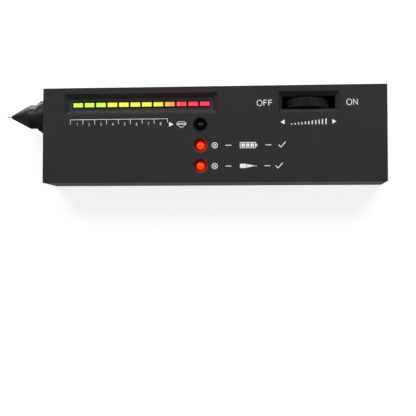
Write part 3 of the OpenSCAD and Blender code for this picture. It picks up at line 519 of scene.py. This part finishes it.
bar_count = 12
green_low, green_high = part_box("bar_leds_green")
row_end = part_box("bar_leds_red")[1].x
bar_pitch = (row_end - green_high.x) / 9
bar_long = green_high.x - green_low.x - 2 * bar_pitch
bar_wide = green_high.y - green_low.y
bars, _, bars_out = new_group("bar_light", [], {"Colour": "NodeSocketColor"})
bars_at = parts_of(bars, object_at(bars))
along = spread(bars, bars_at["X"], green_low.x, green_low.x + bar_count * bar_pitch, 0.0, bar_count)
hues = ((0.0, (0.6, 1.0, 0.085)), (2.8, (0.64, 1.0, 0.085)), (3.3, (0.98, 1.0, 0.08)),
        (6.9, (1.0, 0.94, 0.08)), (7.7, (1.0, 0.76, 0.075)), (8.1, (1.0, 0.56, 0.08)),
        (8.85, (1.0, 0.25, 0.09)), (9.02, (1.0, 0.16, 0.095)), (9.35, (1.0, 0.058, 0.1)),
        (12.0, (1.0, 0.044, 0.105)))
hue = colour_ramp(bars, maths(bars, "DIVIDE", along, bar_count),
                  [(at / bar_count, colour) for at, colour in hues])
from_middle = maths(bars, "SUBTRACT", maths(bars, "FRACT", along), bar_long / bar_pitch / 2)

# Two paler bands, a sixth of the length from either end
wave = maths(bars, "COSINE", maths(bars, "MULTIPLY", from_middle, 3 * math.pi * bar_pitch / bar_long))
glow = spread(bars, wave, 1.0, -1.0, 0.86, 1.04)

# The light falls off towards the four edges of each bar
across = maths(bars, "SUBTRACT", bars_at["Y"], (green_low.y + green_high.y) / 2)
from_edges = [maths(bars, "MULTIPLY_ADD", maths(bars, "ABSOLUTE", offset), -unit, half)
              for offset, half, unit in ((from_middle, bar_long / 2, bar_pitch), (across, bar_wide / 2, 1.0))]
edge_soft = 0.00036
fall = spread(bars, maths(bars, "MINIMUM", *from_edges), 0.0, edge_soft, 0.03, 1.0,
              interpolation_type="SMOOTHSTEP")
feed(bars_out["Colour"], vector_maths(bars, "SCALE", hue, maths(bars, "MULTIPLY", fall, glow)))

for colour in ("green", "yellow", "orange", "red"):
    resin, resin_tree, resin_shader = new_finish("lit_resin_" + colour, Roughness=0.35, Emission_Strength=1.0)
    light = place(resin_tree, "ShaderNodeGroup", node_tree=bars).outputs[0]
    feed(resin_shader.inputs["Base Color"], blend(resin_tree, 1.0, light, (0.25, 0.25, 0.25), "MULTIPLY"))
    feed(resin_shader.inputs["Emission Color"], light)
    dress(resin, "bar_leds_" + colour)

holder_plastic = moulded("holder_plastic", (0.008, 0.008, 0.009), (0.014, 0.014, 0.015), (0.5, 0.7))[0]
dress(holder_plastic, "bar_holder")


# Lamps: three domed light-emitting diodes that stand in countersunk holes, on tinned legs from the board.
# Two glow orange red, the first is of dark smoked resin and unlit.

leg_top, dome_foot, dome_lit = 0.01695, 0.0205, 0.0215


def dome_lamp(name, dark, light, glow_dark, glow_light, strength):
    """A domed resin lamp with metal legs: the legs are what lies below the flange."""
    made, tree, shader = new_finish(name, Specular_IOR_Level=0.15, Coat_Weight=0.3, Coat_Roughness=0.06,
                                    Emission_Strength=strength)
    height = parts_of(tree, object_at(tree))["Z"]
    legs = maths(tree, "LESS_THAN", height, leg_top)
    look = place(tree, "ShaderNodeGroup", {"Fineness": 1500, "Cloud": 500}, node_tree=grain).outputs["Tone"]
    rise = spread(tree, height, dome_foot, dome_lit, interpolation_type="SMOOTHSTEP")
    lit = blend(tree, rise, glow_dark, glow_light)
    feed(shader.inputs["Base Color"], blend(tree, legs, blend(tree, look, dark, light), (0.6, 0.6, 0.6)))
    feed(shader.inputs["Roughness"], spread(tree, look, 0.3, 1.0, 0.1, 0.22))
    feed(shader.inputs["Metallic"], legs)
    feed(shader.inputs["Emission Color"], blend(tree, legs, lit, (0, 0, 0)))
    return made


lit_dome = dome_lamp("lit_dome", (0.12, 0.006, 0.003), (0.16, 0.009, 0.004), (0.03, 0.001, 0.0),
                     (1.0, 0.056, 0.004), 1.0)
dress(lit_dome, "lamps_red")
dark_dome = dome_lamp("dark_dome", (0.004, 0.004, 0.004), (0.008, 0.007, 0.007), (0, 0, 0), (0, 0, 0), 0.0)
dress(dark_dome, "lamp_dark")


# Volume wheel: a moulded black thumbwheel with sixty ridges, screwed to the shaft of a small potentiometer.
# The potentiometer stands on its own little board behind the side wall, with three leads to the main board.

wheel_plastic, wheel_tree, wheel_shader, wheel_tone = moulded(
    "wheel_plastic", (0.0195, 0.0195, 0.0205), (0.0255, 0.0255, 0.0265), (0.4, 0.55), fineness=3000, bump=0.2,
    Specular_IOR_Level=0.1, Coat_Weight=0.1, Coat_Roughness=0.2)
wheel_low, wheel_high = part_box("thumbwheel")
rim = (wheel_high.x - wheel_low.x) / 2
# The grooves between the ridges are painted darker: painted shade
from_hub = vector_maths(wheel_tree, "SUBTRACT", object_at(wheel_tree), (wheel_low + wheel_high) / 2)
from_axle = vector_maths(wheel_tree, "LENGTH", vector_maths(wheel_tree, "MULTIPLY", from_hub, (1, 0, 1)))
groove_shade = spread(wheel_tree, from_axle, rim - 0.00028, rim - 0.00012, 1.0, 0.0)
wheel_tone = blend(wheel_tree, groove_shade, wheel_tone, (0.22, 0.22, 0.22), "MULTIPLY")
feed(wheel_shader.inputs["Base Color"], wheel_tone)
dress(wheel_plastic, "thumbwheel")
phenolic = moulded("phenolic", (0.11, 0.055, 0.026), (0.19, 0.105, 0.05), (0.4, 0.6), fineness=900,
                   cloud_scale=220)[0]
dress(phenolic, "potentiometer")


# Main board: a glass-epoxy sheet under green resist, with copper tracks that show through it as paler lines.
# The small board behind the wheel is cut from the same sheet.

board_green, board_tree, board_shader = new_finish("board_green", Coat_Weight=0.4, Coat_Roughness=0.2)
tracks = place(board_tree, "ShaderNodeTexBrick", {
    "Vector": object_at(board_tree), "Scale": 130.0, "Mortar Size": 0.06, "Color1": (0.012, 0.1, 0.04, 1),
    "Color2": (0.016, 0.125, 0.05, 1), "Mortar": (0.035, 0.2, 0.085, 1)}).outputs
board_look = place(
    board_tree, "ShaderNodeGroup", {"Fineness": 3000, "Cloud": 120}, node_tree=grain).outputs["Tone"]
board_relief = place(board_tree, "ShaderNodeBump", {
    "Strength": 0.3, "Distance": 0.00004, "Height": tracks["Fac"]})
feed(board_shader.inputs["Base Color"], tracks["Color"])
feed(board_shader.inputs["Roughness"], spread(board_tree, board_look, 0.4, 1.0, 0.3, 0.5))
feed(board_shader.inputs["Normal"], board_relief.outputs[0])
dress(board_green, "main_board", "volume_board")


# Parts on the board: chips in black epoxy on two rows of tinned pins, blue trimmers with a brass screw,
# capacitors in a blue sleeve with a bare aluminium top, banded tan resistors and a black buzzer. All are
# soldered in rows.

tinned = (0.6, 0.6, 0.58)


def banded(tree, axis, first, pitch):
    """How far a point lies along an axis from the nearest of a row of like pieces."""
    along_row = maths(tree, "SUBTRACT", parts_of(tree, object_at(tree))[axis], first)
    return maths(tree, "WRAP", along_row, pitch / 2, -pitch / 2)


def bare_metal(tree, shader, tone, offset, half, colour):
    """Shows bare metal where an offset, to either side, is greater than a half width."""
    bare = maths(tree, "GREATER_THAN", maths(tree, "ABSOLUTE", offset), half)
    feed(shader.inputs["Base Color"], blend(tree, bare, tone, colour))
    feed(shader.inputs["Metallic"], bare)


for name in ("driver_chips", "amplifier_chip"):
    epoxy, epoxy_tree, epoxy_shader, epoxy_tone = moulded(
        "epoxy_" + name, (0.012, 0.012, 0.013), (0.022, 0.022, 0.024), (0.55, 0.75), fineness=5000)
    chip_low, chip_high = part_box(name)
    off_chip = banded(epoxy_tree, "Y", (chip_low.y + chip_high.y) / 2, 0.02)
    bare_metal(epoxy_tree, epoxy_shader, epoxy_tone, off_chip, 0.00322, tinned)
    dress(epoxy, name)
buzzer_plastic = moulded("buzzer_plastic", (0.01, 0.01, 0.01), (0.018, 0.018, 0.018), (0.4, 0.55))[0]
dress(buzzer_plastic, "buzzer")

trimmer_blue, trimmer_tree, trimmer_shader, trimmer_tone = moulded(
    "trimmer_blue", (0.02, 0.085, 0.4), (0.035, 0.13, 0.52), (0.3, 0.45))
trimmer_low, trimmer_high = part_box("trimmers")
trimmer_side = trimmer_high.y - trimmer_low.y
trimmer_pitch = trimmer_high.x - trimmer_low.x - trimmer_side
off_screw = place(trimmer_tree, "ShaderNodeCombineXYZ", {
    "X": banded(trimmer_tree, "X", trimmer_low.x + trimmer_side / 2, trimmer_pitch),
    "Y": banded(trimmer_tree, "Y", (trimmer_low.y + trimmer_high.y) / 2, 0.02)}).outputs[0]
screw_r, brass = 0.0022, (0.7, 0.52, 0.22)
within_screw = maths(trimmer_tree, "SUBTRACT", screw_r, vector_maths(trimmer_tree, "LENGTH", off_screw))
within_screw = maths(trimmer_tree, "MAXIMUM", within_screw, 0.0)
bare_metal(trimmer_tree, trimmer_shader, trimmer_tone, within_screw, 0.00001, brass)
dress(trimmer_blue, "trimmers")

sleeve_blue, sleeve_tree, sleeve_shader, sleeve_tone = moulded(
    "sleeve_blue", (0.01, 0.02, 0.09), (0.018, 0.034, 0.14), (0.22, 0.35))
sleeve_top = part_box("capacitors")[1].z
off_sleeve = banded(sleeve_tree, "Z", sleeve_top - 0.02, 0.06)
bare_metal(sleeve_tree, sleeve_shader, sleeve_tone, off_sleeve, 0.01998, (0.72, 0.72, 0.73))
dress(sleeve_blue, "capacitors")

resistor_first, resistor_pitch, resistor_half, unpainted = -0.0518, 0.0108, 0.0031, (1, 1, 1)
lacquer, lacquer_tree, lacquer_shader, lacquer_tone = moulded(
    "tan_lacquer", (0.45, 0.31, 0.16), (0.6, 0.44, 0.25), (0.35, 0.5), cloud_scale=600)
resistor_at = banded(lacquer_tree, "X", resistor_first, resistor_pitch)
rings = colour_ramp(lacquer_tree, spread(lacquer_tree, resistor_at, -resistor_half, resistor_half), (
    (0.0, unpainted), (0.14, (0.2, 0.08, 0.05)), (0.24, unpainted), (0.32, (0.02, 0.02, 0.03)),
    (0.42, unpainted), (0.5, (0.9, 0.06, 0.05)), (0.6, unpainted), (0.78, (0.85, 0.68, 0.3)),
    (0.88, unpainted)), "CONSTANT")
painted = blend(lacquer_tree, 1.0, lacquer_tone, rings, "MULTIPLY")
bare_metal(lacquer_tree, lacquer_shader, painted, resistor_at, resistor_half + 0.00002, tinned)
dress(lacquer, "resistors")


# Probe: a turned collar with three rings is clamped between the shells and carries a screwed-on nose cone,
# both of satin black plastic. A dulled copper needle stands out of the cone, on a sensor slug with a spring
# behind it.

probe_plastic, probe_tree, probe_shader, _ = moulded(
    "probe_plastic", (0.0135, 0.0135, 0.0145), (0.019, 0.019, 0.0205), (0.36, 0.46), fineness=5200,
    cloud_scale=160, bump=0.006, Specular_IOR_Level=0.0, Coat_Roughness=0.36)

# The gloss is set weaker on the lower side, and in a band along the collar below the crests of its rings
probe_at = place(probe_tree, "ShaderNodeTexCoord").outputs
looks_up = parts_of(probe_tree, probe_at["Normal"])["Y"]
probe_gloss = spread(probe_tree, looks_up, -0.75, -0.4, 0.04, 0.38)
up_rings = vector_maths(probe_tree, "DOT_PRODUCT", probe_at["Object"], (-0.84, 1, 0))
dull_band = spread(probe_tree, parts_of(probe_tree, probe_at["Object"])["X"], -0.0826, -0.0816)
for band_edge, band_full in ((0.08285, 0.08245), (0.08017, 0.08077)):
    dull_band = maths(probe_tree, "MULTIPLY", dull_band, spread(probe_tree, up_rings, band_edge, band_full))
probe_gloss = maths(probe_tree, "MULTIPLY", probe_gloss, spread(probe_tree, dull_band, 0.0, 1.0, 1.0, 0.22))
feed(probe_shader.inputs["Coat Weight"], probe_gloss)
dress(probe_plastic, "probe_collar", "nose_cone")
copper = metal("bare_copper", (0.36, 0.2, 0.13), (0.58, 0.36, 0.25), (0.3, 0.5), fineness=4000)
dress(copper, "sensor_slug")
needle_metal = metal("worn_needle", (0.12, 0.115, 0.112), (0.24, 0.225, 0.215), (0.4, 0.6), fineness=4000)
dress(needle_metal, "probe_tip")


def wire_tube(name, points, radius, steps):
    """A round tube along a smooth curve through points in millimetres."""
    at = [Vector(point) / 1000 for point in points]
    path = bpy.data.curves.new(name, "CURVE")
    path.dimensions, path.bevel_depth, path.bevel_resolution = "3D", radius / 1000, 3
    path.resolution_u, path.use_fill_caps = steps, True
    line = path.splines.new("BEZIER")
    line.bezier_points.add(len(at) - 1)
    for i, knot in enumerate(line.bezier_points):
        reach = (at[min(i + 1, len(at) - 1)] - at[max(i - 1, 0)]) / 6
        knot.handle_left_type = knot.handle_right_type = "FREE"
        knot.co, knot.handle_left, knot.handle_right = at[i], at[i] - reach, at[i] + reach
    tube = bpy.data.objects.new(name, path)
    bpy.context.collection.objects.link(tube)
    bpy.ops.object.select_all(action="DESELECT")
    tube.select_set(True)
    bpy.context.view_layer.objects.active = tube
    bpy.ops.object.convert(target="MESH")
    tube = bpy.context.object
    open_mesh(tube)
    bpy.ops.mesh.remove_doubles(threshold=1e-7)
    bpy.ops.mesh.normals_make_consistent(inside=False)
    close_mesh()
    bpy.ops.object.shade_smooth_by_angle(angle=math.radians(40))
    tube.select_set(False)
    return tube


# The spring: six turns of bright wire between the plug and the slug, the end turns wound close
coil_start, coil_end, coil_r, wire_r, coil_turns, knots = -75.725, -84.675, 1.45, 0.175, 6, 12
close_pitch, coil_y, coil_z = 0.42, 10.3, 10.8
coil = []
for i in range(coil_turns * knots + 1):
    turn = i / knots
    open_share = min(max((turn - 1) / (coil_turns - 2), 0), 1)
    start = close_pitch * min(turn, 1)
    finish = close_pitch * max(turn - (coil_turns - 1), 0)
    advance = start + open_share * (coil_start - coil_end - 2 * close_pitch) + finish
    around = 2 * math.pi * turn
    coil_at = (coil_start - advance, coil_y + coil_r * math.sin(around), coil_z + coil_r * math.cos(around))
    coil.append(coil_at)
spring = wire_tube("needle_spring", coil, wire_r, 4)
spring.data.materials.append(metal("spring_wire", (0.36, 0.36, 0.38), (0.55, 0.55, 0.57), (0.2, 0.35)))
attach(spring, "case")
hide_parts("probe_spring")
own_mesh(spring)
nylon = moulded("natural_nylon", (0.62, 0.57, 0.47), (0.74, 0.7, 0.6), (0.4, 0.55))[0]
dress(nylon, "probe_plug")


# Leads: thin stranded wires in vinyl, from the probe, the volume board and the battery's snap to the main
# board. Each ends in a solder joint on the board, and all of them stand fixed at both ends inside the case.

tin = metal("solder_tin", (0.42, 0.42, 0.43), (0.6, 0.6, 0.61), (0.25, 0.45), fineness=2500)
board_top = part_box("main_board")[1].z


def solder_foot(x, y):
    """A low cone of solder round a lead's foot, at a place in millimetres on the board."""
    spot = (x / 1000, y / 1000, board_top)
    bpy.ops.mesh.primitive_circle_add(vertices=20, radius=0.0008, fill_type="NGON", location=spot)
    foot = bpy.context.object
    bpy.ops.object.transform_apply()
    open_mesh(foot)
    for rise, share in ((0.00012, 0.95), (0.0002, 0.88), (0.0003, 0.92)):
        bpy.ops.mesh.extrude_region_move(TRANSFORM_OT_translate={"value": (0, 0, rise)})
        bpy.ops.transform.resize(value=(share, share, 1), center_override=spot)
    bpy.ops.mesh.select_all(action="SELECT")
    bpy.ops.mesh.normals_make_consistent(inside=False)
    close_mesh()
    bpy.ops.object.shade_smooth_by_angle(angle=math.radians(50))
    foot.data.materials.append(tin)
    foot.select_set(False)
    return foot


def lead(points):
    """A lead through points in millimetres, the last of them on the board."""
    return [wire_tube("lead", points, 0.6, 8), solder_foot(*points[-1][:2])]


def harness(name, shapes, vinyl, cad_node):
    """Joins leads and their feet into one piece that stands for its CAD node."""
    for shape in shapes:
        if not shape.data.materials:
            shape.data.materials.append(vinyl)
    made = join_shapes(name, shapes)
    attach(made, "case")
    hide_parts(cad_node)
    made.select_set(False)


def from_foot(foot, *offsets):
    """Points given from a lead's foot."""
    return [tuple(f + o for f, o in zip(foot, offset)) for offset in offsets]


red_vinyl = moulded("red_vinyl", (0.36, 0.012, 0.01), (0.5, 0.022, 0.016), (0.35, 0.5), cloud_scale=400)[0]
black_vinyl = moulded(
    "black_vinyl", (0.008, 0.008, 0.008), (0.016, 0.016, 0.016), (0.35, 0.5), cloud_scale=400)[0]
grey_vinyl = moulded("grey_vinyl", (0.1, 0.1, 0.1), (0.16, 0.16, 0.16), (0.35, 0.5), cloud_scale=400)[0]
dress(black_vinyl, "snap_connector")

foot_z = 11.6
probe_wires = []
for side in (-0.85, 0.85):
    foot = (-61.0, 8.7 + side, foot_z)
    probe_wires += lead([(-67.1, 10.3 + side, 12.0), (-66.2, 10.3 + side, 12.0)]
                        + from_foot(foot, (-1.6, 0, 3), (0, 0, 1.6), (0, 0, 0)))
harness("probe_wires", probe_wires, red_vinyl, "probe_leads")

volume_wires = []
for i in (-1, 0, 1):
    start, foot = (32.65, 18.5, 8.6 + 2 * i), (15.9, 1.5 + 2 * i, foot_z)
    volume_wires += lead(from_foot(start, (0, 0, 0), (0, -0.8, 0), (-6.5, -2.2, -0.6)) + from_foot(
        foot, (6.4 - 0.8 * i, 9.6, 1 + 0.9 * i), (3 - 0.8 * i, 1.6, 3), (0.4, 0.2, 2.4), (0, 0, 1.4),
        (0, 0, 0)))
harness("volume_wires", volume_wires, grey_vinyl, "volume_leads")

for colour, vinyl, start, foot, sweep in (
        ("red", red_vinyl, (25.0, -2.35, 11.95), (11.8, -8.95, foot_z), ((5, 2.4, 4.4), (0.6, 0.3, 3))),
        ("black", black_vinyl, (25.0, -8.35, 11.95), (11.8, -11.75, foot_z), ((5, 1.2, 4.2), (0.6, 0.2, 3)))):
    wire = lead(from_foot(start, (0, 0, 0), (-2, 0, 0)) + from_foot(foot, *sweep, (0, 0, 1.6), (0, 0, 0)))
    harness("battery_wire_" + colour, wire, vinyl, "battery_lead_" + colour)


# Battery: a 9 V block in a plain dark jacket with bare crimped steel rims at both ends and two nickel snap
# terminals. A pad of soft foam, die-cut from sheet, is glued inside the face and keeps the block from
# rattling.

jacket, jacket_tree, jacket_shader, jacket_tone = moulded(
    "battery_jacket", (0.02, 0.02, 0.024), (0.034, 0.034, 0.04), (0.42, 0.58), fineness=3000, cloud_scale=90,
    bump=0.03, Specular_IOR_Level=0.0)
block_low, block_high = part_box("battery")
rim_wide = 0.0011
off_block = banded(jacket_tree, "X", (block_low.x + block_high.x) / 2, 0.2)
bare_metal(jacket_tree, jacket_shader, jacket_tone, off_block, (block_high.x - block_low.x) / 2 - rim_wide,
           (0.55, 0.55, 0.54))
dress(jacket, "battery")
nickel = metal("nickel", (0.55, 0.54, 0.52), (0.72, 0.71, 0.69), (0.14, 0.28))
dress(nickel, "battery_terminals")

foam = moulded("pad_foam", (0.04, 0.04, 0.044), (0.075, 0.075, 0.08), (0.8, 0.95), fineness=2600, bump=0.9)[0]
pad_low, pad_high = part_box("battery_pad")
bpy.ops.mesh.primitive_cube_add(size=1, location=(pad_low + pad_high) / 2)
pad = bpy.context.object
pad.name = pad.data.name = "foam_pad"
pad.scale = pad_high - pad_low
bpy.ops.object.transform_apply()
open_mesh(pad, "EDGE", "DESELECT")
close_mesh()
for rib in pad.data.edges:
    ends = [pad.data.vertices[v].co for v in rib.vertices]
    rib.select = abs(ends[0].z - ends[1].z) > 0.0005
bpy.ops.object.mode_set(mode="EDIT")
bpy.ops.mesh.bevel(offset=0.0018, segments=5)
close_mesh()
squeezed = pad.modifiers.new("squeezed_edge", "BEVEL")
squeezed.width, squeezed.segments = 0.00055, 4
squeezed.limit_method, squeezed.angle_limit = "ANGLE", math.radians(60)
bpy.ops.object.modifier_apply(modifier=squeezed.name)
bpy.ops.object.shade_smooth_by_angle(angle=math.radians(40))
pad.data.materials.append(foam)
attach(pad, "case")
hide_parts("battery_pad")
pad.select_set(False)


# Stage: a pale floor under the case, soft lights from the display's side, from above and from below, and the
# camera. The floor shows white to the camera and lets shadow and mirror rays and views from below through.

bpy.ops.mesh.primitive_plane_add(size=6, location=(0, 0, -0.0002))
floor = bpy.context.object
floor.name = "floor"
paper, paper_tree, paper_shader = new_finish("white_paper", Roughness=0.9, Base_Color=(0.34, 0.34, 0.34, 1))
rays = place(paper_tree, "ShaderNodeLightPath").outputs
white = place(paper_tree, "ShaderNodeEmission", {"Color": (1, 1, 1, 1), "Strength": 0.84})
unlit = place(paper_tree, "ShaderNodeEmission", {"Color": (0, 0, 0, 1), "Strength": 0.0})
shown = place(paper_tree, "ShaderNodeMixShader", {
    0: rays["Is Camera Ray"], 1: unlit.outputs[0], 2: white.outputs[0]})
summed = place(paper_tree, "ShaderNodeAddShader", {0: shown.outputs[0], 1: paper_shader.outputs[0]})
passing = place(paper_tree, "ShaderNodeNewGeometry").outputs["Backfacing"]
for ray in ("Is Shadow Ray", "Is Glossy Ray", "Is Transmission Ray"):
    passing = maths(paper_tree, "MAXIMUM", passing, rays[ray])
clear = place(paper_tree, "ShaderNodeBsdfTransparent")
ground = place(paper_tree, "ShaderNodeMixShader", {0: passing, 1: summed.outputs[0], 2: clear.outputs[0]})
feed(paper_tree.nodes["Material Output"].inputs["Surface"], ground.outputs[0])
floor.data.materials.append(paper)

# The sky is white to the camera and in what mirrors the ground, and a weak fill light for all else
world = bpy.data.worlds.new("studio")
bpy.context.scene.world = world
world.use_nodes = True
sky_tree = world.node_tree
sky = sky_tree.nodes["Background"]
sky.inputs["Color"].default_value = (1, 1, 1, 1)
sky.inputs["Strength"].default_value = 1.0
fill = place(sky_tree, "ShaderNodeBackground", {"Color": (0.96, 0.97, 1.0, 1), "Strength": 0.15})
sky_rays = place(sky_tree, "ShaderNodeLightPath").outputs
sky_at = parts_of(sky_tree, place(sky_tree, "ShaderNodeTexCoord").outputs["Generated"])
mirrored = maths(sky_tree, "MAXIMUM", sky_rays["Is Glossy Ray"], sky_rays["Is Transmission Ray"])
mirrored_ground = maths(sky_tree, "MULTIPLY", mirrored, maths(sky_tree, "LESS_THAN", sky_at["Z"], 0.0))
sky_seen = maths(sky_tree, "MAXIMUM", mirrored_ground, sky_rays["Is Camera Ray"])
sky_mix = place(sky_tree, "ShaderNodeMixShader", {0: sky_seen, 1: fill.outputs[0], 2: sky.outputs[0]})
feed(sky_tree.nodes["World Output"].inputs["Surface"], sky_mix.outputs[0])

for name, spot, size, watts, tint in (
        ("back_gloss", (-0.27, 0.6, -0.085), (0.64, 0.26), 13.5, (0.72, 0.81, 1.0)),
        ("left_light", (-0.42, 0.46, 0.6), (0.26, 0.26), 2.95, (1.0, 1.0, 1.0)),
        ("right_light", (0.40, 0.44, 0.62), (0.26, 0.26), 2.95, (1.0, 1.0, 1.0)),
        ("low_fill", (0.02, 0.75, 0.43), (0.5, 0.2), 3.5, (1.0, 1.0, 1.0)),
        ("under_fill", (0.1, -0.1, -0.75), (0.6, 0.6), 11.0, (1.0, 1.0, 1.0)),
        ("front_fill", (0.05, -0.75, -0.12), (0.6, 0.3), 2.4, (1.0, 1.0, 1.0))):
    bpy.ops.object.light_add(type="AREA", location=spot)
    lamp = bpy.context.object
    lamp.name = name
    lamp.data.shape = "RECTANGLE"
    lamp.data.size, lamp.data.size_y = size
    lamp.data.energy = watts
    lamp.data.color = tint
    lamp.rotation_euler = (-lamp.location).to_track_quat("-Z", "Y").to_euler()
    lamp.visible_camera = False
    lamp.visible_glossy = not name.endswith("fill")
    lamp.visible_diffuse = not name.endswith("gloss")

bpy.ops.object.camera_add(location=(0.029954, -0.048458, 0.395624),
                          rotation=(math.radians(2.376), math.radians(4.877), math.radians(0.07)))
camera = bpy.context.object
camera.name = "camera"
camera.data.lens = 73.05
camera.data.sensor_width = 36
camera.data.clip_start = 0.01
bpy.context.scene.camera = camera
bpy.context.scene.view_settings.view_transform = "Standard"
